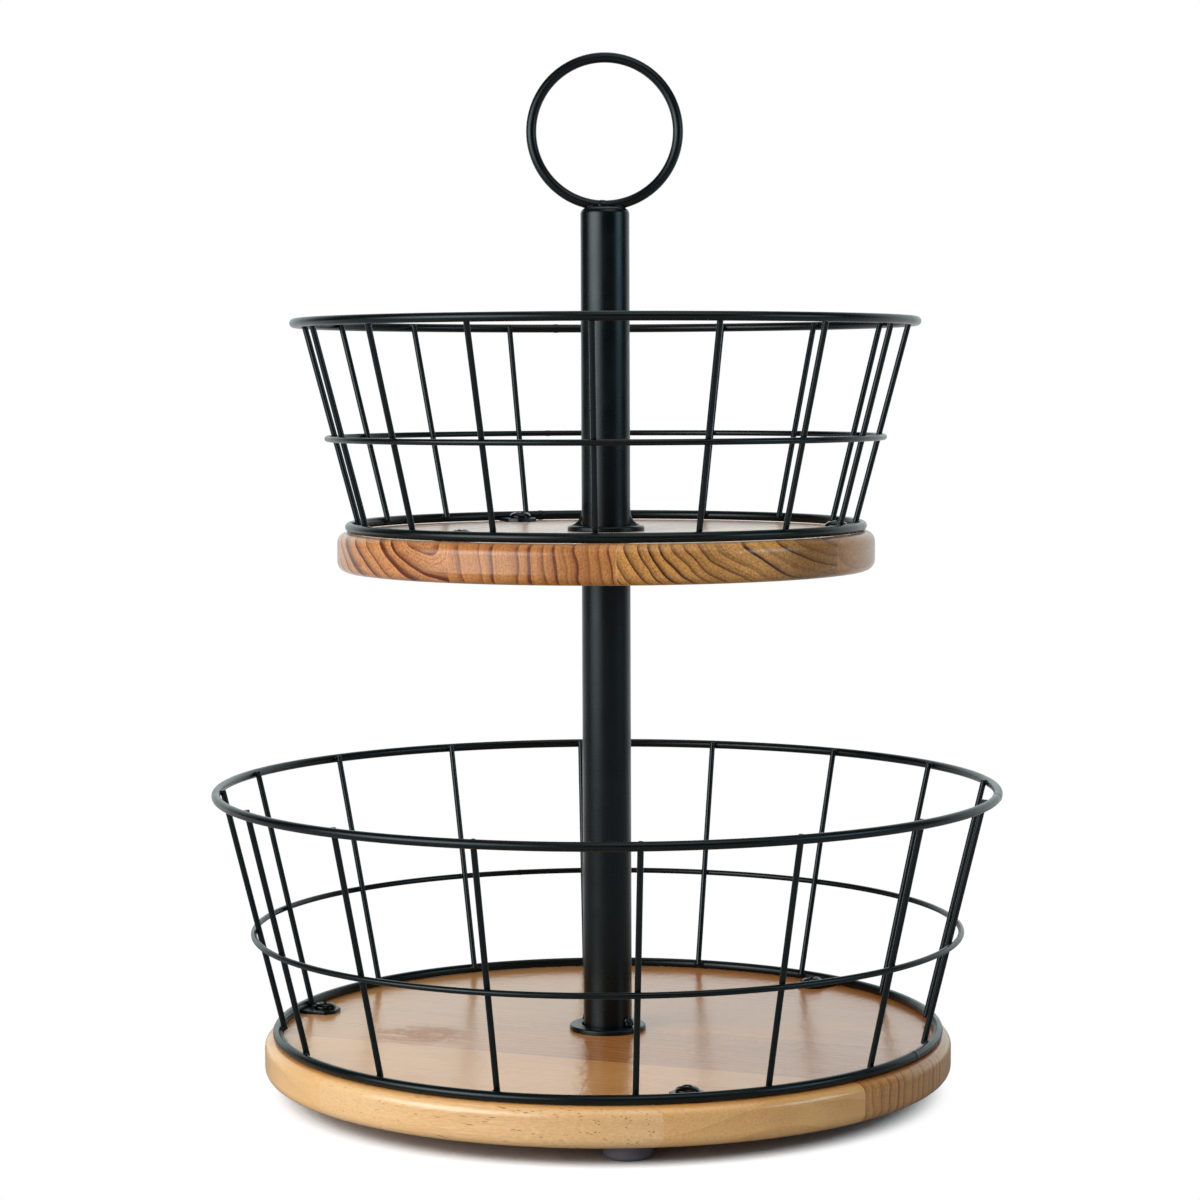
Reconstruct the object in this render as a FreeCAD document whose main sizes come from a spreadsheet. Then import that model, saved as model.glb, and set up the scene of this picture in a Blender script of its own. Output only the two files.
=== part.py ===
import FreeCAD, Part
import math
import os

import Sketcher
from FreeCAD import Placement, Rotation, Vector

# Two-tier wire basket on a tube post.
# Millimetres. The origin is on the table under the post, +Z is up and the front looks along -Y.

UPRIGHT_COUNT = 16
TAB_COUNT = 3
FOOT_COUNT = 4
FLANGE_WELD_COUNT = 2

SIZES = (
    ("post_diameter", 19.0, "outside of both post tubes"),
    ("post_wall", 1.5, "wall of both post tubes"),
    ("lower_post_length", 181.5, "lower tube, from board to board"),
    ("upper_post_length", 122.5, "upper tube, from the upper board to the cap"),
    ("cap_edge_radius", 2.5, "crown height and rounding of the cap"),
    ("cap_plug_depth", 8.0, "part of the cap inside the tube"),
    ("plug_length", 14.0, "each threaded plug inside a tube"),
    ("lower_board_diameter", 269.0, "lower board"),
    ("upper_board_diameter", 209.0, "upper board"),
    ("lower_board_thickness", 15.0, "lower board"),
    ("upper_board_thickness", 15.0, "upper board"),
    ("board_edge_radius", 4.0, "rounding of both boards' edges"),
    ("flange_reach", 5.5, "edge of the washer round each tube's foot, out from the tube"),
    ("flange_thickness", 2.0, "washer round the foot of each tube"),
    ("flange_edge_radius", 0.7, "rounding of the washer's upper edge"),
    ("flange_gap", 0.5, "between the washer's bore and the tube"),
    ("flange_weld_height", 4.6, "weld bead up the tube"),
    ("flange_weld_reach", 3.4, "weld bead out over the washer"),
    ("flange_weld_angle", 20.0, "share of the tube's turn that a bead covers, degrees"),
    ("lower_flange_weld_phase", 54.0, "first lower bead, degrees from the front"),
    ("upper_flange_weld_phase", 90.0, "first upper bead, degrees from the front"),
    ("hoop_wire", 3.5, "wire of the rims and the bottom rings"),
    ("mid_wire", 2.3, "wire of the middle hoops"),
    ("upright_wire", 2.3, "wire of the uprights"),
    ("weld_sink", 0.3, "how far an upright sinks into a hoop at its weld"),
    ("weld_clearance", 0.02, "hairline between pieces that are welded or pressed together"),
    ("upright_foot_gap", 0.1, "upright's lower end above the tabs"),
    ("upright_top_over", 1.3, "upright's upper end above the rim wire's centre"),
    ("lower_ring_inset", 5.1, "lower bottom ring's wire centre, in from its board's edge"),
    ("lower_flare", 22.8, "lower rim's wire centre, out from the bottom ring's"),
    ("lower_ring_gap", 0.3, "lower bottom ring above its board"),
    ("lower_mid_height", 40.8, "lower middle hoop above its board, wire centre"),
    ("lower_rim_height", 95.3, "lower rim above its board, wire centre"),
    ("lower_upright_phase", 4.3, "first lower upright, degrees from the front"),
    ("lower_tab_phase", 13.6, "first lower tab, degrees from the front"),
    ("upper_ring_inset", 5.0, "upper bottom ring's wire centre, in from its board's edge"),
    ("upper_flare", 20.8, "upper rim's wire centre, out from the bottom ring's"),
    ("upper_ring_gap", 0.7, "upper bottom ring above its board"),
    ("upper_mid_height", 36.3, "upper middle hoop above its board, wire centre"),
    ("upper_rim_height", 80.7, "upper rim above its board, wire centre"),
    ("upper_upright_phase", -2.4, "first upper upright, degrees from the front"),
    ("upper_tab_phase", -36.6, "first upper tab, degrees from the front"),
    ("tab_thickness", 1.5, "plate of the tabs"),
    ("tab_width", 14.0, "plate of the tabs"),
    ("tab_corner", 3.5, "cut corners at the tab's inner end"),
    ("tab_screw_inset", 10.0, "tab screw from the ring wire's centre"),
    ("tab_lip", 6.5, "tab's inner end beyond its screw"),
    ("tab_screw_head", 8.8, "diameter of the tab screw's domed head"),
    ("tab_screw_crown", 2.6, "height of the tab screw's domed head"),
    ("tab_screw_rim", 0.5, "straight edge under the dome"),
    ("tab_screw_shank", 3.5, "diameter of the tab screw's shank"),
    ("recess_length", 4.6, "cross recess, tip to tip"),
    ("recess_width", 1.1, "cross recess, arm"),
    ("recess_depth", 1.5, "cross recess"),
    ("screw_clearance", 0.1, "around a shank in its hole and past its tip"),
    ("screw_cover", 5.0, "wood left beyond a screw's tip"),
    ("foot_diameter", 18.0, "rubber foot"),
    ("foot_height", 7.5, "rubber foot"),
    ("foot_edge_radius", 2.0, "rounding of the foot's lower edge"),
    ("foot_inset", 21.5, "foot centres, in from the lower board's edge"),
    ("foot_phase", 3.5, "first foot, degrees from the front"),
    ("foot_seat", 3.0, "rubber between the board and the foot screw's head"),
    ("foot_recess_gap", 0.8, "around the foot screw's head in its hollow"),
    ("foot_screw_head", 7.0, "diameter of the foot screw's head"),
    ("foot_screw_crown", 2.2, "height of the foot screw's head"),
    ("foot_screw_rim", 0.6, "straight edge of the foot screw's head"),
    ("foot_screw_shank", 3.5, "diameter of the foot screw's shank"),
    ("bolt_diameter", 6.0, "bolt under the lower board"),
    ("bolt_grip", 10.0, "bolt inside the plug of the lower tube"),
    ("bolt_head", 11.0, "diameter of the bolt's head"),
    ("bolt_head_height", 3.8, "bolt's head"),
    ("bolt_head_round", 1.0, "rounding of the bolt's head"),
    ("bolt_key", 5.0, "hexagon recess of the bolt, across its corners"),
    ("bolt_key_depth", 2.2, "hexagon recess of the bolt"),
    ("bolt_clearance", 0.3, "around the bolt in the board"),
    ("washer_diameter", 18.0, "washer under the bolt's head"),
    ("washer_thickness", 1.5, "washer under the bolt's head"),
    ("counterbore_clearance", 1.0, "around the washer and below the bolt's head"),
    ("stud_diameter", 8.0, "threaded stud between the two posts"),
    ("stud_grip", 10.0, "stud inside the socket of the lower tube"),
    ("stud_hold", 12.0, "stud inside the plug of the upper tube"),
    ("stud_chamfer", 0.8, "lead-in at the stud's lower end"),
    ("stud_clearance", 0.5, "around the stud in the upper board"),
    ("thread_clearance", 0.08, "between a thread and its nut"),
    ("handle_radius", 28.35, "ring handle, wire centre"),
    ("handle_wire", 4.0, "wire of the ring handle"),
    ("handle_sink", 1.1, "how far the ring sits in the cap"),
    ("handle_weld_inset", 1.4, "beads beside the ring, in from the edge of the cap's flat"),
    ("handle_weld_radius", 0.9, "bead between the ring and the cap"),
)

doc = FreeCAD.newDocument("tiered_wire_basket")
sheet = doc.addObject("Spreadsheet::Sheet", "sizes")
for row, (alias, value, meaning) in enumerate(SIZES, start=1):
    sheet.set(f"A{row}", meaning)
    sheet.set(f"B{row}", str(value))
    sheet.setAlias(f"B{row}", alias)
doc.recompute()

# Levels and radii that several pieces share
LOWER_BOTTOM = "sizes.foot_height"
LOWER_TOP = "(sizes.foot_height + sizes.lower_board_thickness)"
UPPER_BOTTOM = f"({LOWER_TOP} + sizes.lower_post_length)"
UPPER_TOP = f"({UPPER_BOTTOM} + sizes.upper_board_thickness)"
CAP_SEAT = f"({UPPER_TOP} + sizes.upper_post_length)"
CROWN = f"({CAP_SEAT} + sizes.cap_edge_radius)"
POST_OUTSIDE = "(sizes.post_diameter / 2)"
POST_INSIDE = "(sizes.post_diameter / 2 - sizes.post_wall)"
PLUG_OUTSIDE = f"({POST_INSIDE} - sizes.weld_clearance)"
FOOT_CIRCLE = "(sizes.lower_board_diameter / 2 - sizes.foot_inset)"
COUNTERBORE_DEPTH = "(sizes.washer_thickness + sizes.bolt_head_height + sizes.counterbore_clearance)"

nodes = []


def number(text):
    """The value of an expression with the sizes as they stand."""
    return float(sheet.evalExpression(str(text)))


def bind(piece, **expressions):
    """Tie properties of a piece to expressions; two underscores stand for a point in a property's path."""
    for path, text in expressions.items():
        piece.setExpression(path.replace("__", "."), str(text))


def node(piece, label):
    """Give a finished piece its name and put it on the list of sub-parts."""
    piece.Label = label
    nodes.append(piece)
    return piece


def new_body(name, height="0", turn="0"):
    """An empty body, raised to a height and turned about the post, in degrees from the front."""
    body = doc.addObject("PartDesign::Body", name)
    body.Placement = Placement(Vector(0, 0, 1), Rotation(Vector(0, 0, 1), 1))
    bind(body, Placement__Base__z=height, Placement__Rotation__Angle=f"{turn} - 90")
    return body


def origin_feature(body, role):
    return next(feature for feature in body.Origin.OriginFeatures if feature.Role == role)


def new_sketch(body, name, role, height=None):
    """A sketch on one of the body's own planes, raised along the plane's normal where a height is given."""
    sketch = body.newObject("Sketcher::SketchObject", name)
    sketch.AttachmentSupport = [(origin_feature(body, role), "")]
    sketch.MapMode = "FlatFace"
    if height is not None:
        bind(sketch, AttachmentOffset__Base__z=height)
    return sketch


def pin(sketch, name, kind, place, text):
    """Hold one measure of a sketch at an expression's value."""
    index = sketch.addConstraint(Sketcher.Constraint(kind, *place, number(text)))
    sketch.renameConstraint(index, name)
    sketch.setExpression("Constraints." + name, str(text))


def pin_point(sketch, name, geometry, point, x, y):
    pin(sketch, name + "_x", "DistanceX", (-1, 1, geometry, point), x)
    pin(sketch, name + "_y", "DistanceY", (-1, 1, geometry, point), y)


def arc_between(start, end, radius, turn):
    """The arc from start to end that turns left (1) or right (-1), at most a half circle."""
    chord = end.sub(start)
    half = chord.Length / 2
    normal = Vector(-chord.y, chord.x, 0).normalize()
    centre = start.add(end).multiply(0.5).add(normal.multiply(turn * math.sqrt(radius**2 - half**2)))
    first, last = (start, end) if turn > 0 else (end, start)
    angles = [math.atan2(point.y - centre.y, point.x - centre.x) for point in (first, last)]
    if angles[1] < angles[0]:
        angles[1] += 2 * math.pi
    return Part.ArcOfCircle(Part.Circle(centre, Vector(0, 0, 1), radius), *angles)


def outline(sketch, corners, arcs=None):
    """A closed outline through corners, given as pairs of expressions. arcs holds, for the edge that
    starts at a corner, its radius and the way it turns."""
    arcs = arcs or {}
    points = [Vector(number(x), number(y), 0) for x, y in corners]
    ends = []
    for i, start in enumerate(points):
        end = points[(i + 1) % len(points)]
        if i in arcs:
            radius, turn = arcs[i]
            sketch.addGeometry(arc_between(start, end, number(radius), turn))
            pin(sketch, f"radius_{i}", "Radius", (i,), radius)
            ends.append((1, 2) if turn > 0 else (2, 1))
        else:
            sketch.addGeometry(Part.LineSegment(start, end))
            ends.append((1, 2))
    for i, (x, y) in enumerate(corners):
        before = i - 1 if i else len(corners) - 1
        sketch.addConstraint(Sketcher.Constraint("Coincident", before, ends[before][1], i, ends[i][0]))
        pin_point(sketch, f"corner_{i}", i, ends[i][0], x, y)


def circles(sketch, places):
    """Circles in a sketch, each given as expressions for its centre and radius."""
    for x, y, radius in places:
        centre = Vector(number(x), number(y), 0)
        index = sketch.addGeometry(Part.Circle(centre, Vector(0, 0, 1), number(radius)))
        pin_point(sketch, f"circle_{index}", index, 3, x, y)
        pin(sketch, f"circle_{index}_radius", "Radius", (index,), radius)


def axis_line(sketch, start, end):
    """A construction line for a piece that is turned about its own axis."""
    points = [Vector(number(x), number(y), 0) for x, y in (start, end)]
    index = sketch.addGeometry(Part.LineSegment(*points), True)
    for point, (x, y) in enumerate((start, end), start=1):
        pin_point(sketch, f"axis_{point}", index, point, x, y)


def turn_profile(body, sketch, kind="PartDesign::Revolution", axis="V_Axis", angle=None):
    """Turn a sketch into a solid, or into a cut, all the way round or evenly about the sketch's plane."""
    feature = body.newObject(kind, "turned")
    feature.Profile = sketch
    feature.ReferenceAxis = (sketch, [axis])
    feature.Angle = 360
    if angle is not None:
        feature.Midplane = True
        bind(feature, Angle=angle)
    body.Tip = feature
    return feature


def pocket(body, sketch, depth, upwards=False):
    """Cut a sketch's outline into the body, down into it or upwards from its underside."""
    feature = body.newObject("PartDesign::Pocket", "pocket")
    feature.Profile = sketch
    feature.Reversed = upwards
    bind(feature, Length=depth)
    body.Tip = feature
    return feature


def repeat_round_post(body, originals, count):
    """Repeat features evenly about the post."""
    pattern = body.newObject("PartDesign::PolarPattern", "round_post")
    pattern.Originals = originals
    pattern.Axis = (origin_feature(body, "Z_Axis"), [""])
    pattern.Angle = 360
    pattern.Occurrences = count
    body.Tip = pattern
    return pattern


def turned_blank(name, corners, arcs=None, height="0"):
    """A body turned about the post from one outline of radius and height."""
    body = new_body(name, height)
    sketch = new_sketch(body, name + "_profile", "XZ_Plane")
    outline(sketch, corners, arcs)
    turn_profile(body, sketch)
    return body


def turned_piece(label, corners, arcs=None, height="0"):
    """A sub-part turned about the post."""
    return node(turned_blank(label, corners, arcs, height), label)


def tube(label, inside, outside, length, height):
    """A plain sleeve about the post's axis."""
    corners = [(inside, "0"), (outside, "0"), (outside, length), (inside, length)]
    return turned_piece(label, corners, height=height)


def polar(radius, phase, count, index):
    """Where a copy lies in a body that is turned so that its X axis is the front."""
    angle = f"({phase} + {index} * 360 / {count})"
    return f"{radius} * cos({angle})", f"{radius} * sin({angle})"


class Tier:
    """What the two baskets share. Heights are above the tier's own board."""

    def __init__(self, name, top):
        self.name = name
        self.top = top
        self.board_radius = f"(sizes.{name}_board_diameter / 2)"
        self.board_thickness = f"sizes.{name}_board_thickness"
        self.ring_radius = f"({self.board_radius} - sizes.{name}_ring_inset)"
        self.rim_radius = f"({self.ring_radius} + sizes.{name}_flare)"
        self.ring_height = f"(sizes.{name}_ring_gap + sizes.hoop_wire / 2)"
        self.mid_height = f"sizes.{name}_mid_height"
        self.rim_height = f"sizes.{name}_rim_height"
        self.upright_phase = f"sizes.{name}_upright_phase"
        self.tab_phase = f"sizes.{name}_tab_phase"
        self.slope = f"(sizes.{name}_flare / ({self.rim_height} - {self.ring_height}))"
        self.stretch = f"sqrt(1 + {self.slope} ^ 2)"
        self.screw_radius = f"({self.ring_radius} - sizes.tab_screw_inset)"
        self.screw_bite = f"({self.board_thickness} - sizes.screw_cover)"

    def cone(self, height, inward):
        """Radius at a height on the cone through ring and rim, moved inward square to the cone."""
        rise = f"({height} - {self.ring_height})"
        return f"({self.ring_radius} + {self.slope} * {rise} - {inward} * {self.stretch})"

    def hoops(self):
        """Name, radius, height and wire of the tier's three hoops. The middle hoop's thinner wire lies
        against the same straight uprights as the ring and the rim."""
        mid_radius = self.cone(self.mid_height, "(sizes.hoop_wire - sizes.mid_wire) / 2")
        return (
            ("bottom_ring", self.ring_radius, self.ring_height, "sizes.hoop_wire"),
            ("mid_hoop", mid_radius, self.mid_height, "sizes.mid_wire"),
            ("rim", self.rim_radius, self.rim_height, "sizes.hoop_wire"),
        )


LOWER = Tier("lower", LOWER_TOP)
UPPER = Tier("upper", UPPER_TOP)


def board_corners(tier, bore, counterbore=None):
    """A board's section from its bore out to the rounded edge, and the edge's two arcs."""
    radius, thickness, edge = tier.board_radius, tier.board_thickness, "sizes.board_edge_radius"
    corners = [(bore, thickness)]
    if counterbore:
        corners += [(bore, COUNTERBORE_DEPTH), (counterbore, COUNTERBORE_DEPTH), (counterbore, "0")]
    else:
        corners += [(bore, "0")]
    lower_arc = len(corners)
    corners += [
        (f"{radius} - {edge}", "0"),
        (radius, edge),
        (radius, f"{thickness} - {edge}"),
        (f"{radius} - {edge}", thickness),
    ]
    return corners, {lower_arc: (edge, 1), lower_arc + 2: (edge, 1)}


def board(tier, bore, counterbore, height):
    """A round board with the pilot holes of its tab screws."""
    corners, arcs = board_corners(tier, bore, counterbore)
    body = turned_piece(f"{tier.name}_board", corners, arcs, height)
    pilots = new_sketch(body, f"{tier.name}_pilots", "XY_Plane", tier.board_thickness)
    pilot_radius = "sizes.tab_screw_shank / 2 + sizes.screw_clearance"
    circles(pilots, [
        (*polar(tier.screw_radius, tier.tab_phase, TAB_COUNT, i), pilot_radius) for i in range(TAB_COUNT)
    ])
    pocket(body, pilots, f"{tier.screw_bite} + sizes.screw_clearance")
    return body


def boards():
    """Both boards. The lower one also takes the bolt from below and the screws of its feet."""
    lower = board(
        LOWER,
        "(sizes.bolt_diameter / 2 + sizes.bolt_clearance)",
        "(sizes.washer_diameter / 2 + sizes.counterbore_clearance)",
        LOWER_BOTTOM,
    )
    holes = new_sketch(lower, "foot_pilots", "XY_Plane")
    hole_radius = "sizes.foot_screw_shank / 2 + sizes.screw_clearance"
    circles(holes, [
        (*polar(FOOT_CIRCLE, "sizes.foot_phase", FOOT_COUNT, i), hole_radius)
        for i in range(FOOT_COUNT)
    ])
    pocket(lower, holes, f"{LOWER.screw_bite} + sizes.screw_clearance", upwards=True)
    board(UPPER, "(sizes.stud_diameter / 2 + sizes.stud_clearance)", None, UPPER_BOTTOM)


def hoop_wires(tier):
    """The bottom ring, the middle hoop and the rim of a basket."""
    for name, radius, height, wire in tier.hoops():
        hoop = doc.addObject("Part::Torus", f"{tier.name}_{name}")
        bind(hoop, Radius1=radius, Radius2=f"{wire} / 2", Placement__Base__z=f"{tier.top} + {height}")
        node(hoop, f"{tier.name}_{name}")


def upright(tier, index):
    """One straight upright inside the hoops, saddled where it is welded to each of them."""
    label = f"{tier.name}_upright_{index + 1:02d}"
    turn = f"{tier.upright_phase} + {index} * 360 / {UPRIGHT_COUNT}"
    body = new_body(label, tier.top, turn)
    half = "sizes.upright_wire / 2"
    inward = "((sizes.hoop_wire + sizes.upright_wire) / 2 - sizes.weld_sink)"
    drop = f"{half} * {tier.slope} / {tier.stretch}"
    foot = f"(sizes.tab_thickness + sizes.upright_foot_gap + {drop})"
    top = f"({tier.rim_height} + sizes.upright_top_over)"
    ends = [(tier.cone(height, inward), height) for height in (foot, top)]
    sides = [(f"{radius} + {half} / {tier.stretch}", f"{height} - {drop}") for radius, height in ends]
    profile = new_sketch(body, label + "_profile", "XZ_Plane")
    outline(profile, [ends[0], sides[0], sides[1], ends[1]])
    axis_line(profile, *ends)
    turn_profile(body, profile, axis="Axis0")
    saddles = new_sketch(body, label + "_saddles", "XZ_Plane")
    circles(saddles, [
        (radius, height, f"{wire} / 2 + sizes.weld_clearance") for _, radius, height, wire in tier.hoops()
    ])
    turn_profile(body, saddles, "PartDesign::Groove")
    node(body, label)


def tabs(tier):
    """Flat tabs welded to the inside of the bottom ring, each with a hole for its screw."""
    label = f"{tier.name}_tabs"
    body = new_body(label, tier.top, tier.tab_phase)
    plan = new_sketch(body, label + "_plan", "XY_Plane")
    inner = f"{tier.screw_radius} - sizes.tab_lip"
    half = "sizes.tab_width / 2"
    outline(plan, [
        (tier.ring_radius, f"-{half}"),
        (tier.ring_radius, half),
        (f"{inner} + sizes.tab_corner", half),
        (inner, f"{half} - sizes.tab_corner"),
        (inner, f"-({half} - sizes.tab_corner)"),
        (f"{inner} + sizes.tab_corner", f"-{half}"),
    ])
    circles(plan, [(tier.screw_radius, "0", "sizes.tab_screw_shank / 2 + sizes.screw_clearance")])
    plate = body.newObject("PartDesign::Pad", "plate")
    plate.Profile = plan
    bind(plate, Length="sizes.tab_thickness")
    repeat_round_post(body, [plate], TAB_COUNT)
    seat = new_sketch(body, label + "_seat", "XZ_Plane")
    circles(seat, [(tier.ring_radius, tier.ring_height, "sizes.hoop_wire / 2 + sizes.weld_clearance")])
    turn_profile(body, seat, "PartDesign::Groove")
    node(body, label)


def dome_radius(head, crown, rim):
    """Radius of the sphere that domes a screw head of that diameter, height and straight edge."""
    rise = f"({crown} - {rim})"
    return f"((({head}) / 2) ^ 2 + {rise} ^ 2) / (2 * {rise})"


def cross_corners(x):
    """The twelve corners of a cross recess about a place on the X axis, in order round it."""
    arm = "sizes.recess_length / 2"
    half = "sizes.recess_width / 2"
    quarter = [(arm, f"-{half}"), (arm, half), (half, half)]
    corners = []
    for step in range(4):
        for first, second in quarter:
            turned = (
                (first, second),
                (f"-({second})", first),
                (f"-({first})", f"-({second})"),
                (second, f"-({first})"),
            )[step]
            corners.append((f"{x} + ({turned[0]})", turned[1]))
    return corners


def domed_screws(label, place, head, crown, rim, shank, length, count, height, turn, point_up=False):
    """Domed screws round the post, each on its own axis at a radius. Heights run from under the head."""
    body = new_body(label, height, turn)
    way = "-1" if point_up else "1"
    edge = f"{place} + ({head}) / 2"
    side = f"{place} + ({shank}) / 2"
    profile = new_sketch(body, label + "_profile", "XZ_Plane")
    corners = [
        (place, f"{way} * (-({length}))"),
        (side, f"{way} * (-({length}))"),
        (side, "0"),
        (edge, "0"),
        (edge, f"{way} * ({rim})"),
        (place, f"{way} * ({crown})"),
    ]
    outline(profile, corners, {4: (dome_radius(head, crown, rim), -1 if point_up else 1)})
    axis_line(profile, corners[0], corners[5])
    screw = turn_profile(body, profile, axis="Axis0")
    recess = new_sketch(body, label + "_recess", "XY_Plane", f"{way} * ({crown})")
    outline(recess, cross_corners(place))
    cross = pocket(body, recess, "sizes.recess_depth", upwards=point_up)
    repeat_round_post(body, [screw, cross], count)
    node(body, label)


def tab_screws(tier):
    domed_screws(
        f"{tier.name}_tab_screws", tier.screw_radius,
        "sizes.tab_screw_head", "sizes.tab_screw_crown", "sizes.tab_screw_rim",
        "sizes.tab_screw_shank", f"sizes.tab_thickness + {tier.screw_bite}", TAB_COUNT,
        f"{tier.top} + sizes.tab_thickness", tier.tab_phase,
    )


def feet():
    """Rubber feet under the lower board, hollow below for a screw head."""
    body = new_body("feet", "0", "sizes.foot_phase")
    place = FOOT_CIRCLE
    hole = f"{place} + sizes.foot_screw_shank / 2 + sizes.screw_clearance"
    hollow = f"{place} + sizes.foot_screw_head / 2 + sizes.foot_recess_gap"
    side = f"{place} + sizes.foot_diameter / 2"
    seat = "sizes.foot_height - sizes.foot_seat"
    profile = new_sketch(body, "foot_profile", "XZ_Plane")
    outline(profile, [
        (hollow, "0"),
        (f"{side} - sizes.foot_edge_radius", "0"),
        (side, "sizes.foot_edge_radius"),
        (side, "sizes.foot_height"),
        (hole, "sizes.foot_height"),
        (hole, seat),
        (hollow, seat),
    ], {1: ("sizes.foot_edge_radius", 1)})
    axis_line(profile, (place, "0"), (place, "sizes.foot_height"))
    foot = turn_profile(body, profile, axis="Axis0")
    repeat_round_post(body, [foot], FOOT_COUNT)
    node(body, "feet")
    domed_screws(
        "foot_screws", place,
        "sizes.foot_screw_head", "sizes.foot_screw_crown", "sizes.foot_screw_rim",
        "sizes.foot_screw_shank", f"sizes.foot_seat + {LOWER.screw_bite}", FOOT_COUNT,
        seat, "sizes.foot_phase", point_up=True,
    )


def flange(label, height):
    """A washer round the foot of a tube, with a softened upper edge."""
    bore = f"{POST_OUTSIDE} + sizes.flange_gap"
    rim = f"{POST_OUTSIDE} + sizes.flange_reach"
    edge = "sizes.flange_edge_radius"
    thickness = "sizes.flange_thickness"
    turned_piece(label, [
        (bore, "0"),
        (rim, "0"),
        (rim, f"{thickness} - {edge}"),
        (f"{rim} - {edge}", thickness),
        (bore, thickness),
    ], {2: (edge, 1)}, height)


def flange_welds(name, height, phase):
    """Weld beads that run hollow from the tube down on to its washer."""
    body = new_body(name, f"{height} + sizes.flange_thickness + sizes.weld_clearance", phase)
    inner = f"{POST_OUTSIDE} + sizes.weld_clearance"
    reach = "sizes.flange_weld_reach"
    rise = "sizes.flange_weld_height"
    profile = new_sketch(body, name + "_profile", "XZ_Plane")
    outline(
        profile,
        [(inner, "0"), (f"{inner} + {reach}", "0"), (inner, rise)],
        {1: (f"sqrt({reach} ^ 2 + {rise} ^ 2)", -1)},
    )
    bead = turn_profile(body, profile, angle="sizes.flange_weld_angle")
    repeat_round_post(body, [bead], FLANGE_WELD_COUNT)
    return body


def lower_post():
    """The lower tube with its washer, its threaded plugs and the bolt that holds it to the board."""
    tube("lower_post", POST_INSIDE, POST_OUTSIDE, "sizes.lower_post_length", LOWER_TOP)
    flange("lower_flange", LOWER_TOP)
    node(flange_welds("lower_flange_welds", LOWER_TOP, "sizes.lower_flange_weld_phase"), "lower_flange_welds")
    nut_bore = "sizes.bolt_diameter / 2 + sizes.thread_clearance"
    tube("lower_post_nut", nut_bore, PLUG_OUTSIDE, "sizes.plug_length", LOWER_TOP)
    socket_bore = "sizes.stud_diameter / 2 + sizes.thread_clearance"
    socket_height = f"{UPPER_BOTTOM} - sizes.plug_length"
    tube("lower_post_socket", socket_bore, PLUG_OUTSIDE, "sizes.plug_length", socket_height)
    base_bolt()


def base_bolt():
    """The bolt under the lower board, in its counterbore, with a hexagon recess, and its washer."""
    seat = f"{LOWER_BOTTOM} + {COUNTERBORE_DEPTH} - sizes.washer_thickness"
    shank = "sizes.bolt_diameter / 2"
    head = "sizes.bolt_head / 2"
    drop = "sizes.bolt_head_height"
    edge = "sizes.bolt_head_round"
    length = f"{LOWER_TOP} + sizes.bolt_grip - ({seat})"
    bolt = turned_piece("base_bolt", [
        ("0", f"-{drop}"),
        (f"{head} - {edge}", f"-{drop}"),
        (head, f"-{drop} + {edge}"),
        (head, "0"),
        (shank, "0"),
        (shank, length),
        ("0", length),
    ], {1: (edge, 1)}, seat)
    key = new_sketch(bolt, "bolt_key", "XY_Plane", f"-{drop}")
    outline(key, [polar("sizes.bolt_key / 2", "0", 6, i) for i in range(6)])
    pocket(bolt, key, "sizes.bolt_key_depth", upwards=True)
    washer_bore = "sizes.bolt_diameter / 2 + sizes.bolt_clearance"
    tube("base_washer", washer_bore, "sizes.washer_diameter / 2", "sizes.washer_thickness", seat)


def upper_post():
    """The upper tube with its washer, and the plug and stud that screw into the lower tube."""
    tube("upper_post", POST_INSIDE, POST_OUTSIDE, "sizes.upper_post_length", UPPER_TOP)
    flange("upper_flange", UPPER_TOP)
    stud_radius = "sizes.stud_diameter / 2"
    plug_bore = f"{stud_radius} + sizes.weld_clearance"
    tube("upper_post_nut", plug_bore, PLUG_OUTSIDE, "sizes.plug_length", UPPER_TOP)
    chamfer = "sizes.stud_chamfer"
    length = "sizes.stud_grip + sizes.upper_board_thickness + sizes.stud_hold"
    turned_piece("post_stud", [
        ("0", "0"),
        (f"{stud_radius} - {chamfer}", "0"),
        (stud_radius, chamfer),
        (stud_radius, length),
        ("0", length),
    ], height=f"{UPPER_BOTTOM} - sizes.stud_grip")


def standing_ring(name, wire_radius):
    """A ring of the handle's size, upright across the top of the post."""
    ring = doc.addObject("Part::Torus", name)
    ring.Placement = Placement(Vector(), Rotation(Vector(1, 0, 0), 90))
    centre = f"{CROWN} - sizes.handle_sink + sizes.handle_wire / 2 + sizes.handle_radius"
    bind(ring, Radius1="sizes.handle_radius", Radius2=wire_radius, Placement__Base__z=centre)
    return ring


def cap_and_handle():
    """The cap on the upper tube, the ring handle let into it and the weld beads between them."""
    edge = "sizes.cap_edge_radius"
    depth = "sizes.cap_plug_depth"
    blank = turned_blank("cap_blank", [
        ("0", f"-{depth}"),
        (PLUG_OUTSIDE, f"-{depth}"),
        (PLUG_OUTSIDE, "0"),
        (POST_OUTSIDE, "0"),
        (f"{POST_OUTSIDE} - {edge}", edge),
        ("0", edge),
    ], {3: (edge, 1)}, CAP_SEAT)
    room = standing_ring("ring_room", "sizes.handle_wire / 2 + sizes.weld_clearance")
    cap = doc.addObject("Part::Cut", "post_cap")
    cap.Base = blank
    cap.Tool = room
    node(cap, "post_cap")
    node(standing_ring("ring_handle", "sizes.handle_wire / 2"), "ring_handle")
    welds = doc.addObject("Part::Compound", "upper_post_welds")
    welds.Links = [flange_welds("upper_flange_welds", UPPER_TOP, "sizes.upper_flange_weld_phase")]
    welds.Links += [ring_bead(side, face) for side in (-1, 1) for face in (-1, 1)]
    node(welds, "upper_post_welds")


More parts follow.
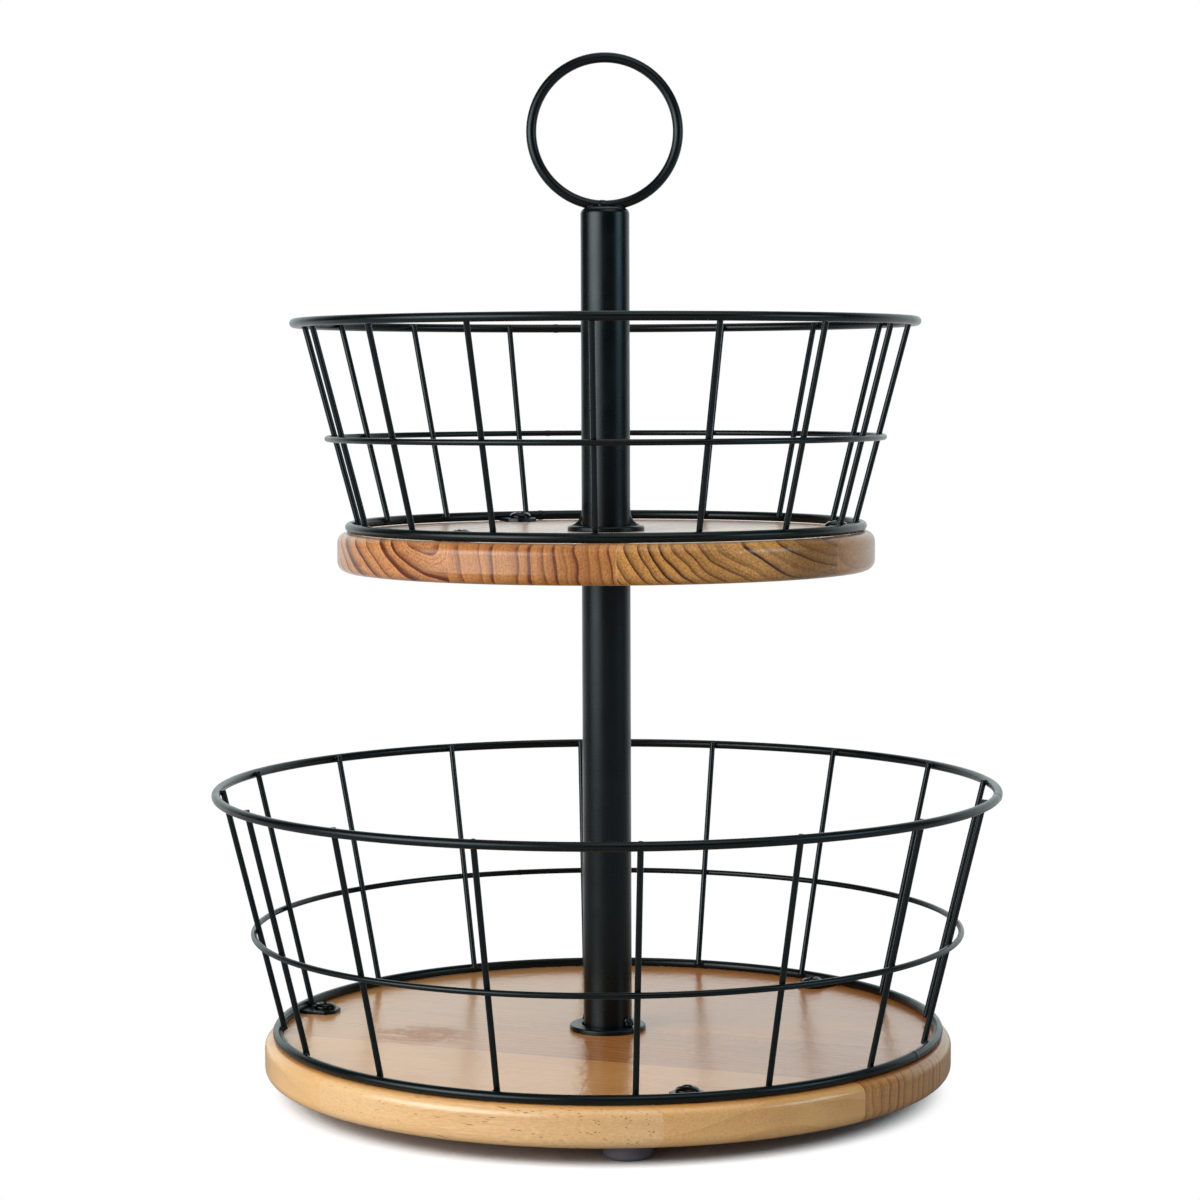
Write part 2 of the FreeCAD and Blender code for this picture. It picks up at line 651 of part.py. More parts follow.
def ring_bead(side, face):
    """A round bead in the corner between the ring and the cap, left or right, front or back. It lies a
    hairline off both."""
    bead = doc.addObject("Part::Sphere", "ring_bead")
    apart = f"({POST_OUTSIDE} - sizes.cap_edge_radius - sizes.handle_weld_inset)"
    off_cap = "(sizes.handle_weld_radius + sizes.weld_clearance)"
    off_wire = f"(sizes.handle_wire / 2 + {off_cap})"
    below_centre = f"(sizes.handle_radius + sizes.handle_wire / 2 - sizes.handle_sink - {off_cap})"
    outside_ring = f"(sqrt({apart} ^ 2 + {below_centre} ^ 2) - sizes.handle_radius)"
    bind(
        bead,
        Radius="sizes.handle_weld_radius",
        Placement__Base__x=f"{side} * {apart}",
        Placement__Base__y=f"{face} * sqrt({off_wire} ^ 2 - {outside_ring} ^ 2)",
        Placement__Base__z=f"{CROWN} + {off_cap}",
    )
    return bead


def basket(tier):
    """One tier's wire basket with the tabs and screws that hold it to its board."""
    hoop_wires(tier)
    for index in range(UPRIGHT_COUNT):
        upright(tier, index)
    tabs(tier)
    tab_screws(tier)


boards()
feet()
lower_post()
basket(LOWER)
basket(UPPER)
upper_post()
cap_and_handle()
doc.recompute()

# Nothing is written unless every feature was made and every sub-part is a sound solid
for piece in doc.Objects:
    if {"Invalid", "Error"} & set(piece.State):
        raise RuntimeError(f"{piece.Label} failed: {piece.State}")
for piece in nodes:
    if piece.Shape.isNull() or not piece.Shape.isValid() or not piece.Shape.Solids:
        raise RuntimeError(f"{piece.Label} is not a sound solid")

os.makedirs("parts", exist_ok=True)
for piece in nodes:
    piece.Shape.exportStep(os.path.join("parts", piece.Label + ".step"))
    print(f"{piece.Label}: {len(piece.Shape.Solids)} solid, {piece.Shape.Volume:.1f} mm3")
print(len(nodes), "sub-parts")
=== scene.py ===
import math
from collections import namedtuple

import bmesh
import bpy
from mathutils import Matrix, Vector, noise


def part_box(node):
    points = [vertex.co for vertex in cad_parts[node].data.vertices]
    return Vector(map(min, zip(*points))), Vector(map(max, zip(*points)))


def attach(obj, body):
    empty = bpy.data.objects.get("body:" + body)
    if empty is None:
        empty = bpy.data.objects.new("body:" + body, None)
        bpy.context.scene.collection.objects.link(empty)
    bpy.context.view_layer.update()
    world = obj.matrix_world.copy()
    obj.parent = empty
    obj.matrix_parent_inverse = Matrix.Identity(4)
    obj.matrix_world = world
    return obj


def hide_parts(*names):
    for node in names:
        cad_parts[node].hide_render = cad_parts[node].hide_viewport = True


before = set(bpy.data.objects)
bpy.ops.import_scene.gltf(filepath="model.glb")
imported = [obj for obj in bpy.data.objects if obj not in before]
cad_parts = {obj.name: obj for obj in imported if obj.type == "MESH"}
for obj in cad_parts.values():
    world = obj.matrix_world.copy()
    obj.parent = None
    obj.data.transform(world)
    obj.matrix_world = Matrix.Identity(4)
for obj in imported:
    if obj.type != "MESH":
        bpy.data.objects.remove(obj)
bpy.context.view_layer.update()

# Metres, in the part's frame: the origin is on the table under the post and the front looks along -Y.
# A phase is an angle round the post in degrees, from the front towards the right, and FRONT is where it
# starts, as an angle from +X.
MM = 0.001
FRONT = -90

# The camera that the photograph was measured with.
SENSOR_WIDTH = 36.0
FOCAL_LENGTH = 91.464
CAMERA_PLACE = Vector((-2.443, -1187.75, 275.65)) * MM
CAMERA_TILT = math.radians(85.964)
CAMERA_LEAN = math.radians(-0.214)

# Points round a turned piece and round a wire, and how a rounded corner is drawn: its steps, and how far past
# each end of the arc one more point stands, which keeps the shading of flat faces flat.
TURNED_POINTS = 192
WIRE_POINTS = 20
ARC_STEPS = 6
SMALL_ARC_STEPS = 3
CAP_ARC_STEPS = 8
ARC_EASE = 0.2 * MM
ON_AXIS = 0.001 * MM

# An edge whose faces turn by more degrees than this is shaded sharp.
SHARP_TURN = 35.0

# Hoops and uprights. A hoop's ends are butted and welded in a seam, which swells by a share of the wire in
# its middle and ends just inside the wire. A bottom ring has a thicker coat and settles on its board.
BODY_OF_TIER = {"lower": "base", "upper": "upper_tray"}
HOOP_POINTS = 288
SEAM_PHASES = {
    "lower_bottom_ring": 62.0, "lower_mid_hoop": 196.0, "lower_rim": 78.0,
    "upper_bottom_ring": 196.0, "upper_mid_hoop": 193.0, "upper_rim": 190.0,
}
SEAM_LENGTH = 3.0 * MM
SEAM_SWELL = 0.10
SEAM_END = 0.985
SEAM_POINTS = 13
RING_SETTLE = {"lower_bottom_ring": 0.15 * MM, "upper_bottom_ring": 0.4 * MM}
RING_SWELL = 0.12 * MM
UPRIGHT_WIRE = 2.3 * MM
UPRIGHT_SINK = 0.3 * MM
UPRIGHT_END_EDGE = 0.35 * MM

# The drops of weld metal between the uprights and the bottom ring, middle hoop and rim: half sizes in
# millimetres along the hoop, outwards and upwards. A skin step gives each modelled drop its own uneven skin.
DROP_HALF_SIZES = ((2.0, 0.9, 1.5), (1.5, 0.7, 1.0), (1.6, 0.7, 1.0))
DROP_VARIETY = 0.14
DROP_SEED = 11
DROP_SKIN_STEP = 3.7
DROP_ROUGHNESS = 0.16
DROP_LUMPS = 1.3
DROP_SUBDIVISIONS = 3

# Boards.
BOARD_ROUNDING = 4.0 * MM
HOLE_EDGE = 0.4 * MM
BOLT_HOLE = 3.3 * MM
STUD_HOLE_GAP = 0.5 * MM
WASHER_RECESS_GAP = 1.0 * MM

# Tabs and their domed screws.
TAB_COUNT = 3
TAB_PHASES = {"lower": 13.6, "upper": -36.6}
TAB_THICKNESS = 1.5 * MM
TAB_WIDTH = 12.6 * MM
TAB_CORNER = 3.2 * MM
TAB_LIP = 5.6 * MM
TAB_SIDE_EDGE = 0.3 * MM
TAB_TOP_EDGE = 0.25 * MM
TAB_EDGE_STEPS = 2
TAB_SCREW_INSET = 10.0 * MM
SCREW_POINTS = 96
SCREW_LAYERS = 40
SCREW_HEAD = 4.4 * MM
SCREW_CROWN = 2.6 * MM
SCREW_RIM = 0.7 * MM
SCREW_SHANK = 1.75 * MM
SCREW_LENGTH = 11.5 * MM
SCREW_TIP = 3.0 * MM
SCREW_TURN = 24.0
RECESS_ARM = 2.3 * MM
RECESS_HALF_WIDTH = 0.55 * MM
RECESS_DEPTH = 1.5 * MM
RECESS_TAPER = 0.25
RECESS_SOFTNESS = 0.14 * MM

# Posts, flanges, cap and handle.
TUBE_EDGE = 0.3 * MM
FLANGE_BORE_GAP = 0.5 * MM
FLANGE_BORE_EDGE = 0.3 * MM
FLANGE_TOP_EDGE = 0.8 * MM
FLANGE_UNDER_EDGE = 0.2 * MM
CAP_ROUNDING = 2.4 * MM
HANDLE_POINTS = 160
HANDLE_SEAM_ANGLE = -92.0
HANDLE_SEAM_SWELL = 0.12
HANDLE_DROP = (1.7, 1.0, 0.8)
HANDLE_DROP_ASIDE = 5.4 * MM
HANDLE_DROP_OUT = 1.7 * MM
HANDLE_DROP_RISE = 0.2 * MM
HANDLE_DROP_SKIN_STEP = 5.1

# The lower flange's tack welds, each heaped up from drops: how far a drop is aside, out and up, and its half
# sizes, in millimetres.
TACK_PHASES = (54, 234)
TACK_DROPS = (
    ((0.0, 0.9, 1.0), (1.9, 1.6, 1.6)), ((-0.9, 0.5, 2.3), (1.2, 1.1, 1.3)),
    ((1.0, 0.6, 2.0), (1.1, 1.1, 1.2)), ((0.2, 0.2, 3.0), (0.9, 0.8, 1.1)),
)
TACK_ROUGHNESS = 0.3
TACK_SKIN_STEP = 2.3

# The upper flange's two fillet welds.
FILLET_PHASES = (90, 270)
FILLET_RISE = 5.6 * MM
FILLET_REACH = 4.7 * MM
FILLET_SINK = 0.3 * MM
FILLET_HALF_ANGLE = 17
FILLET_HALF_STEPS = 17
FILLET_SECTION_STEPS = 12
FILLET_HOLLOW = 3.4
FILLET_TAPER = 0.8
FILLET_RIPPLE = 0.12
FILLET_RIPPLE_STEP = 0.45
FILLET_RIPPLE_ROW = 0.3

# The stud's thread.
THREAD_PITCH = 1.25 * MM
THREAD_DEPTH = 0.7 * MM
THREAD_POINTS = 40
THREAD_LAYERS = 8
THREAD_STEEPNESS = 1.25
THREAD_ROOT = 0.1

# Feet.
FOOT_COUNT = 4
FOOT_PHASE = 3.5
FOOT_INSET = 21.5 * MM
FOOT_POINTS = 64
FOOT_RADIUS = 9.0 * MM
FOOT_HOLLOW = 4.3 * MM
FOOT_SEAT = 3.0 * MM
FOOT_SCREW_HOLE = 2.0 * MM
FOOT_TREAD_EDGE = 2.0 * MM
FOOT_HOLLOW_EDGE = 0.5 * MM
FOOT_TOP_EDGE = 0.3 * MM

# The studio. A softbox looks at the middle of the basket and is brightest in its own middle.
Softbox = namedtuple("Softbox", "name place width height power colour")
SOFTBOXES = (
    Softbox("left_softbox", (-0.94, -0.74, 0.46), 1.8, 1.1, 19.0, (1.0, 0.99, 0.97)),
    Softbox("right_softbox", (1.1, -0.45, 0.5), 0.9, 0.6, 3.6, (0.6, 0.87, 1.0)),
    Softbox("front_softbox", (0.35, -0.7, 1.4), 1.9, 1.5, 6.8, (1.0, 0.98, 0.95)),
    Softbox("top_softbox", (0.0, 0.35, 1.4), 1.3, 1.0, 2.5, (1.0, 1.0, 1.0)),
    Softbox("back_softbox", (0.0, 1.25, 0.5), 1.8, 0.7, 0.7, (1.0, 1.0, 1.0)),
)
LIGHT_TARGET = Vector((0, 0, 0.2))
SOFTBOX_CENTRE = (0.5, 0.5, 0)
SOFTBOX_DARK_RADIUS = 0.58
SOFTBOX_BRIGHT_RADIUS = 0.05
SOFTBOX_PEAK = 2.2
FLOOR_HALF = 3.0
SHADOW_FADE_START = 0.117
SHADOW_FADE_END = 0.137
MIRROR_FADE_START = 0.19
MIRROR_FADE_END = 0.34
MIRROR_NEAR_GLOW = 0.45
MIRROR_FAR_GLOW = 0.95
MIRROR_NEAR_DEPTH = 0.2
MIRROR_FAR_DEPTH = 0.6
CONTACT_DISTANCE = 0.02
CONTACT_SAMPLES = 12
FLOOR_IN_SHADE = (0.42, 0.38, 0.36, 1)
FLOOR_IN_LIGHT = (2.4, 2.4, 2.4, 1)
FLOOR_BOUNCE = (0.4, 0.4, 0.4, 1)
ROOM_LIGHT_LOW = (0.56, 0.555, 0.55, 1)
ROOM_LIGHT_HIGH = (0.21, 0.212, 0.217, 1)
BACKDROP = (0.88, 1.0, 1.0, 1)
NO_LIGHT = (0, 0, 0, 1)
WHITE = (1, 1, 1, 1)


def tone(red, green, blue):
    """A colour written in screen values from 0 to 255, as the shaders take it."""
    def straight(value):
        value = value / 255
        return value / 12.92 if value <= 0.04045 else ((value + 0.055) / 1.055) ** 2.4
    return (straight(red), straight(green), straight(blue), 1.0)


class Graph:
    """Short calls for adding nodes to a tree."""

    def __init__(self, tree):
        self.tree = tree

    def node(self, kind, inputs=None, **settings):
        made = self.tree.nodes.new(kind)
        for key, value in settings.items():
            setattr(made, key, value)
        for key, value in (inputs or {}).items():
            self.feed(made.inputs[key], value)
        return made

    def output(self, kind, inputs=None, **settings):
        """The first output of a new node."""
        return self.node(kind, inputs, **settings).outputs[0]

    def feed(self, socket, value):
        if isinstance(value, bpy.types.NodeSocket):
            self.tree.links.new(value, socket)
        else:
            socket.default_value = value

    def maths(self, operation, *values):
        made = self.node("ShaderNodeMath", operation=operation)
        for socket, value in zip(made.inputs, values):
            self.feed(socket, value)
        return made.outputs[0]

    def plus(self, first, second):
        return self.maths("ADD", first, second)

    def minus(self, first, second):
        return self.maths("SUBTRACT", first, second)

    def times(self, first, second):
        return self.maths("MULTIPLY", first, second)

    def grown(self, value, factor, base):
        """The base plus the value times a factor."""
        return self.maths("MULTIPLY_ADD", value, factor, base)

    def unsigned(self, value):
        return self.maths("ABSOLUTE", value)

    def axes(self, vector):
        return self.node("ShaderNodeSeparateXYZ", {"Vector": vector}).outputs

    def measure(self, operation, *vectors):
        """The number that a vector operation gives, such as a length."""
        made = self.node("ShaderNodeVectorMath", dict(enumerate(vectors)), operation=operation)
        return made.outputs["Value"]

    def mix(self, share, first, second, how="MIX"):
        """Two colours mixed. The node also has sockets for numbers and vectors, under the same labels."""
        made = self.node("ShaderNodeMix", data_type="RGBA", blend_type=how)
        by_identifier = {socket.identifier: socket for socket in made.inputs}
        self.feed(by_identifier["Factor_Float"], share)
        self.feed(by_identifier["A_Color"], first)
        self.feed(by_identifier["B_Color"], second)
        return made.outputs[2]

    def spread(self, value, low, high, to_low=0.0, to_high=1.0):
        """A value eased from one range to another, and held at the ends."""
        made = self.node("ShaderNodeMapRange", interpolation_type="SMOOTHSTEP")
        for socket, number in zip(made.inputs, (value, low, high, to_low, to_high)):
            self.feed(socket, number)
        return made.outputs[0]

    def noise(self, vector, scale, detail, roughness=0.5):
        inputs = {"Vector": vector, "Scale": scale, "Detail": detail, "Roughness": roughness}
        return self.node("ShaderNodeTexNoise", inputs).outputs["Fac"]

    def noise_along(self, value, scale, detail):
        """Noise that follows one number, such as the distance from a stave's pith."""
        inputs = {"W": value, "Scale": scale, "Detail": detail}
        return self.node("ShaderNodeTexNoise", inputs, noise_dimensions="1D").outputs["Fac"]

    def stretch(self, vector, along, across):
        """Coordinates scaled along the grain by one number and across it by another."""
        inputs = {"Vector": vector, "Scale": (along, across, across)}
        return self.output("ShaderNodeMapping", inputs)

    def grain_noise(self, vector, along, across, detail, roughness=0.5):
        """Noise drawn out along the grain, with so many features in a millimetre along and across it."""
        return self.noise(self.stretch(vector, along, across), 1.0, detail, roughness)

    def place(self, scale=1.0, turn=0.0, move=(0, 0, 0)):
        """Object coordinates, scaled, turned about the upright axis and moved."""
        coordinates = self.node("ShaderNodeTexCoord").outputs["Object"]
        scales = scale if isinstance(scale, tuple) else (scale, scale, scale)
        inputs = {"Vector": coordinates, "Location": move, "Rotation": (0, 0, turn), "Scale": scales}
        return self.output("ShaderNodeMapping", inputs)

    def bump(self, height, distance):
        inputs = {"Height": height, "Distance": distance, "Strength": 1.0}
        return self.output("ShaderNodeBump", inputs)

    def dress(self, **sockets):
        """Feed a material's Principled shader, by the names of its sockets."""
        shader = self.tree.nodes["Principled BSDF"]
        for label, value in sockets.items():
            self.feed(shader.inputs[label.replace("_", " ")], value)


def new_material(name, **sockets):
    """A material with one Principled shader, whose plain numbers sit on its own sockets."""
    material = bpy.data.materials.new(name)
    material.use_nodes = True
    graph = Graph(material.node_tree)
    graph.dress(**sockets)
    return material, graph


def coated_steel(name, dark, light, smooth, rough, peel):
    """Black coating over steel: faint cloudiness, uneven sheen and a fine orange-peel skin."""
    material, graph = new_material(name, Specular_IOR_Level=0.34, Specular_Tint=(0.8, 0.95, 1.0, 1.0))
    place = graph.place(1 / MM)
    cloud = graph.noise(place, scale=0.09, detail=3.0)
    skin = graph.noise(place, scale=1.6, detail=2.0)
    sheen = graph.grown(skin, 0.35, graph.times(cloud, 0.65))
    graph.dress(
        Base_Color=graph.mix(graph.spread(cloud, 0.35, 0.7), dark, light),
        Roughness=graph.spread(sheen, 0.3, 0.7, smooth, rough), Normal=graph.bump(skin, peel))
    return material


def rubber(name):
    """Moulded foot rubber: dull slate with a fine grain."""
    material, graph = new_material(name)
    place = graph.place(1 / MM)
    grain = graph.noise(place, scale=3.0, detail=3.0)
    cloud = graph.noise(place, scale=0.15, detail=2.0)
    graph.dress(
        Base_Color=graph.mix(cloud, tone(88, 88, 100), tone(112, 112, 126)),
        Roughness=graph.spread(grain, 0.3, 0.7, 0.55, 0.72), Normal=graph.bump(grain, 0.05 * MM))
    return material


def bright_steel(name):
    """Zinc-plated steel of the stud and the hidden fasteners: patchy brightness with fine turning marks."""
    material, graph = new_material(name, Metallic=1.0)
    patch = graph.noise(graph.place(1 / MM), scale=0.5, detail=3.0)
    marks = graph.noise(graph.place((0.6 / MM, 0.6 / MM, 9.0 / MM)), scale=1.0, detail=2.0)
    graph.dress(
        Base_Color=graph.mix(patch, tone(150, 150, 148), tone(196, 196, 198)),
        Roughness=graph.spread(marks, 0.3, 0.7, 0.24, 0.4), Normal=graph.bump(marks, 0.02 * MM))
    return material


# One stave of an edge-glued board, in millimetres: where it starts across the grain, how much its glue line
# shows, where its rings are centred and how far they lean, the distance between rings, how much closer they
# get outwards, how strongly rings and pores show, where dark heartwood begins, and its pale and dark wood.
Stave = namedtuple(
    "Stave", "start glue pith_across pith_up lean ring crowding contrast pores heart pale dark")
WOOD_FIELDS = Stave._fields[2:]
NO_HEART = 999.0

# The clear coat of a board: its roughness, its index of refraction, the height of its ripples in millimetres
# and how hazy it is at a flat angle.
Varnish = namedtuple("Varnish", "roughness index ripple haze")

# A board's wood: its staves, the direction of its grain, how much painted light brightens one end of it and
# how much darker the other end is, where along and across the grain a curly patch lies, the painted shade of
# its flat faces and its clear coat.
Board = namedtuple("Board", "staves heading bleach curl flat_tint varnish")

UPPER_BOARD = Board(
    staves=(
        Stave(-200.0, 0.0, -150.0, 8.0, 0.0, 6.0, 0.0, 0.7, 0.2, NO_HEART,
              tone(206, 146, 92), tone(140, 80, 44)),
        Stave(-87.7, 0.1, -28.0, 11.5, 0.8, 7.4, 0.0, 1.2, 0.2, NO_HEART,
              tone(248, 184, 122), tone(116, 54, 30)),
        Stave(-24.9, 0.1, -112.0, -4.0, 0.0, 8.6, 0.00146, 0.95, 0.2, NO_HEART,
              tone(222, 158, 94), tone(126, 66, 36)),
        Stave(38.0, 0.35, 130.0, 52.0, 0.0, 3.6, 0.0, 1.1, 0.3, 84.0,
              tone(255, 194, 112), tone(88, 42, 14)),
        Stave(100.8, 0.1, 190.0, 20.0, 0.0, 5.2, 0.0, 0.8, 0.3, NO_HEART,
              tone(212, 148, 80), tone(110, 62, 24)),
    ),
    heading=math.radians(-109.5), bleach=0.0, curl=(20.0, 60.0), flat_tint=(1.0, 1.0, 1.0, 1.0),
    varnish=Varnish(0.26, 1.5, 0.008, 0.2),
)

LOWER_BOARD = Board(
    staves=(
        Stave(-200.0, 0.0, -126.0, -60.0, 0.0, 7.0, 0.0, 0.3, 0.8, NO_HEART,
              tone(242, 203, 150), tone(222, 166, 102)),
        Stave(-116.2, 0.0, -80.0, -70.0, 0.0, 8.0, 0.0, 0.3, 0.3, NO_HEART,
              tone(242, 194, 130), tone(208, 148, 82)),
        Stave(-55.0, 0.1, 90.0, 4.0, 0.0, 4.8, 0.0, 0.7, 0.3, NO_HEART,
              tone(230, 172, 104), tone(132, 78, 34)),
        Stave(5.0, 0.1, 40.0, -90.0, 0.0, 7.5, 0.0, 0.4, 0.4, NO_HEART,
              tone(222, 166, 98), tone(174, 116, 58)),
        Stave(66.0, 0.1, 10.0, -40.0, 0.0, 6.0, 0.0, 0.45, 0.4, NO_HEART,
              tone(218, 160, 94), tone(160, 102, 50)),
    ),
    # Painted light pales one end of this board and the other end is darker; painted shade darkens and warms
    # its flat faces.
    heading=math.radians(-22.0), bleach=0.5, curl=(-62.0, -37.5), flat_tint=(1.0, 0.8, 0.55, 1.0),
    varnish=Varnish(0.21, 1.6, 0.22, 0.03),
)

# Growth rings, in millimetres: how far they wander, how much the pith slants along the grain, how far from
# the pith crowding starts, and by how many rings their spacing varies.
RING_WANDER = 9.0
PITH_SLANT = 0.035
CROWDING_START = 96.0
RING_VARIETY = 1.2

# The rest of a board, in millimetres: where along the grain its ends start to change and where they have
# changed fully, how wide heartwood blends in, and how far from a joint its glue line ends and is at its full.
ENDS_START = 20.0
ENDS_FULL = 110.0
HEART_BLEND = 12.0
GLUE_EDGE = 0.28
GLUE_CORE = 0.1

# Shares of the changes in colour, and how many times higher the clear coat's ripples get over curly grain.
HEART_SHARE = 0.5
PATCH_SHARE = 0.3
GRIT_SHARE = 0.4
PORE_SHARE = 0.8
END_GRAIN_SHARE = 0.3
CURL_SHARE = 0.5
DARKER_END_SHARE = 0.7
CURL_RIPPLE = 7.0

# Colours that the wood takes on, and tints that it is multiplied by.
PORE_BROWN = tone(112, 66, 32)
CURL_BROWN = tone(196, 112, 42)
GLUE_PALE = tone(230, 184, 130)
STREAK_TINT = (0.45, 0.32, 0.22, 1.0)
GRIT_TINT = (0.56, 0.4, 0.3, 1.0)
END_GRAIN_TINT = (0.76, 0.64, 0.52, 1.0)
DARKER_END_TINT = (0.4, 0.28, 0.2, 1.0)
HAZE_TINT = (0.86, 0.97, 1.0, 1.0)
HAZE_ROUGHNESS = 0.3
WOOD_RELIEF = 0.06 * MM

# A point of a board in millimetres, as one vector and as places along, across and above its grain, with the
# fields of the stave that it lies in.
Grain = namedtuple("Grain", "place along across up wood")


def by_stave(graph, staves, beyond, field):
    """The field of the stave that a point lies in."""
    value = getattr(staves[0], field)
    previous = value
    for stave, mask in zip(staves[1:], beyond):
        here = getattr(stave, field)
        if isinstance(here, tuple):
            value = graph.mix(mask, value, here)
        else:
            value = graph.grown(mask, here - previous, value)
        previous = here
    return value


def lay_staves(graph, board, middle):
    """The grain of an edge-glued board whose middle is at a height."""
    place = graph.place(1 / MM, -board.heading, (0, 0, -middle / MM))
    along, across, up = graph.axes(place)
    beyond = [graph.maths("GREATER_THAN", across, stave.start) for stave in board.staves[1:]]
    wood = {field: by_stave(graph, board.staves, beyond, field) for field in WOOD_FIELDS}
    return Grain(place, along, across, up, wood)


def growth_rings(graph, grain):
    """How much late wood shows: in each ring a soft band with a sharp line at its end, and thin lines."""
    wood = grain.wood
    drift = graph.grain_noise(grain.place, along=0.006, across=0.035, detail=2.0)
    wander = graph.times(graph.minus(drift, 0.5), RING_WANDER)
    aside = graph.minus(grain.across, wood["pith_across"])
    above = graph.minus(grain.up, wood["pith_up"])
    leaning = graph.grown(grain.up, wood["lean"], aside)
    slanting = graph.grown(grain.along, PITH_SLANT, leaning)
    squares = graph.plus(graph.maths("POWER", slanting, 2.0), graph.maths("POWER", above, 2.0))
    reach = graph.plus(graph.maths("SQRT", squares), wander)
    even = graph.maths("DIVIDE", reach, wood["ring"])
    past = graph.maths("MAXIMUM", graph.minus(reach, CROWDING_START), 0.0)
    crowded = graph.times(graph.times(past, past), wood["crowding"])
    uneven = graph.times(graph.noise_along(reach, scale=0.07, detail=1.0), RING_VARIETY)
    ring = graph.plus(graph.plus(even, crowded), uneven)
    inside = graph.maths("FRACT", ring)
    number = graph.maths("FLOOR", ring)
    drawn = graph.node("ShaderNodeTexWhiteNoise", {"W": number}, noise_dimensions="1D").outputs["Value"]
    ended = graph.spread(inside, 1.0, 0.96)
    band = graph.times(graph.spread(inside, 0.2, 0.95), ended)
    line = graph.times(graph.spread(inside, 0.62, 0.94), ended)
    band = graph.times(band, graph.grown(drawn, 0.45, 0.25))
    line = graph.times(line, graph.grown(drawn, 0.3, 0.3))
    thin = graph.spread(graph.noise_along(reach, scale=1.3, detail=2.0), 0.5, 0.75, 0.0, 0.3)
    return graph.plus(graph.plus(band, line), thin)


def pore_flecks(graph, grain):
    """Short dark flecks along the grain, which lie in some places only."""
    fleck = graph.stretch(grain.place, along=0.16, across=1.5)
    cell = graph.node("ShaderNodeTexVoronoi", {"Vector": fleck, "Scale": 1.0}).outputs["Distance"]
    chosen = graph.spread(graph.noise(fleck, scale=0.3, detail=1.0), 0.54, 0.64)
    return graph.times(graph.spread(cell, 0.34, 0.2), chosen)


def curly_patch(graph, grain, curl):
    """A patch of wavy grain about a point of the board."""
    inputs = {0: grain.place, 1: (*curl, 0.0)}
    offset = graph.output("ShaderNodeVectorMath", inputs, operation="SUBTRACT")
    away = graph.measure("LENGTH", graph.stretch(offset, along=0.036, across=0.04))
    wave = graph.grain_noise(grain.place, along=0.1, across=0.22, detail=3.0, roughness=0.65)
    return graph.times(graph.spread(away, 1.0, 0.1), graph.spread(wave, 0.38, 0.66))


def stave_colour(graph, grain, late, fibre, end_grain):
    """Each stave's own wood: rings, patches, heartwood, streaks, grit, pores and darker end grain."""
    wood = grain.wood
    contrast = wood["contrast"]
    shown = graph.times(contrast, graph.grown(end_grain, 0.55, 0.45))
    colour = graph.mix(graph.times(late, shown), wood["pale"], wood["dark"])
    patch = graph.grain_noise(grain.place, along=0.02, across=0.06, detail=3.0)
    colour = graph.mix(graph.spread(patch, 0.3, 0.75, 0.0, PATCH_SHARE), colour, wood["dark"])
    past_heart = graph.minus(grain.across, wood["heart"])
    heart = graph.spread(past_heart, 0.0, HEART_BLEND, 0.0, HEART_SHARE)
    colour = graph.mix(heart, colour, wood["dark"])
    speck = graph.grain_noise(grain.place, along=0.25, across=1.5, detail=5.0, roughness=0.78)
    streak = graph.grown(graph.spread(speck, 0.36, 0.66), 0.9, graph.spread(fibre, 0.3, 0.7))
    streak = graph.times(streak, graph.grown(contrast, 0.3, 0.12))
    colour = graph.mix(streak, colour, STREAK_TINT, "MULTIPLY")
    grit = graph.spread(graph.noise(grain.place, scale=1.1, detail=3.0, roughness=0.7), 0.45, 0.62)
    gritty = graph.times(graph.times(contrast, contrast), GRIT_SHARE)
    colour = graph.mix(graph.times(grit, gritty), colour, GRIT_TINT, "MULTIPLY")
    pores = graph.times(pore_flecks(graph, grain), wood["pores"])
    colour = graph.mix(graph.times(pores, PORE_SHARE), colour, PORE_BROWN)
    return graph.mix(graph.times(end_grain, END_GRAIN_SHARE), colour, END_GRAIN_TINT, "MULTIPLY")


def board_colour(graph, grain, board, colour, flat, curly):
    """Whole-board marks: painted end light, a darker other end, a curly patch, painted flat-face shade and
    glue lines.
    """
    # Painted light: one end of the grain is paled towards the first stave's pale wood.
    painted_end_light = graph.spread(grain.along, ENDS_START, -ENDS_FULL, 0.0, board.bleach)
    colour = graph.mix(painted_end_light, colour, board.staves[0].pale)
    colour = graph.mix(graph.times(curly, CURL_SHARE), colour, CURL_BROWN)
    # Painted shade: flat faces are multiplied by the board's flat-face tint, which darkens and warms the
    # lower board's top against its edges.
    colour = graph.mix(flat, colour, board.flat_tint, "MULTIPLY")
    # The other end of the grain is darker, on flat faces only.
    darker_end = graph.spread(grain.along, ENDS_START, ENDS_FULL, 0.0, DARKER_END_SHARE * board.bleach)
    colour = graph.mix(graph.times(flat, darker_end), colour, DARKER_END_TINT, "MULTIPLY")
    for stave in board.staves[1:]:
        off = graph.unsigned(graph.minus(grain.across, stave.start))
        glue = graph.spread(off, GLUE_EDGE, GLUE_CORE, 0.0, stave.glue)
        colour = graph.mix(glue, colour, GLUE_PALE)
    return colour


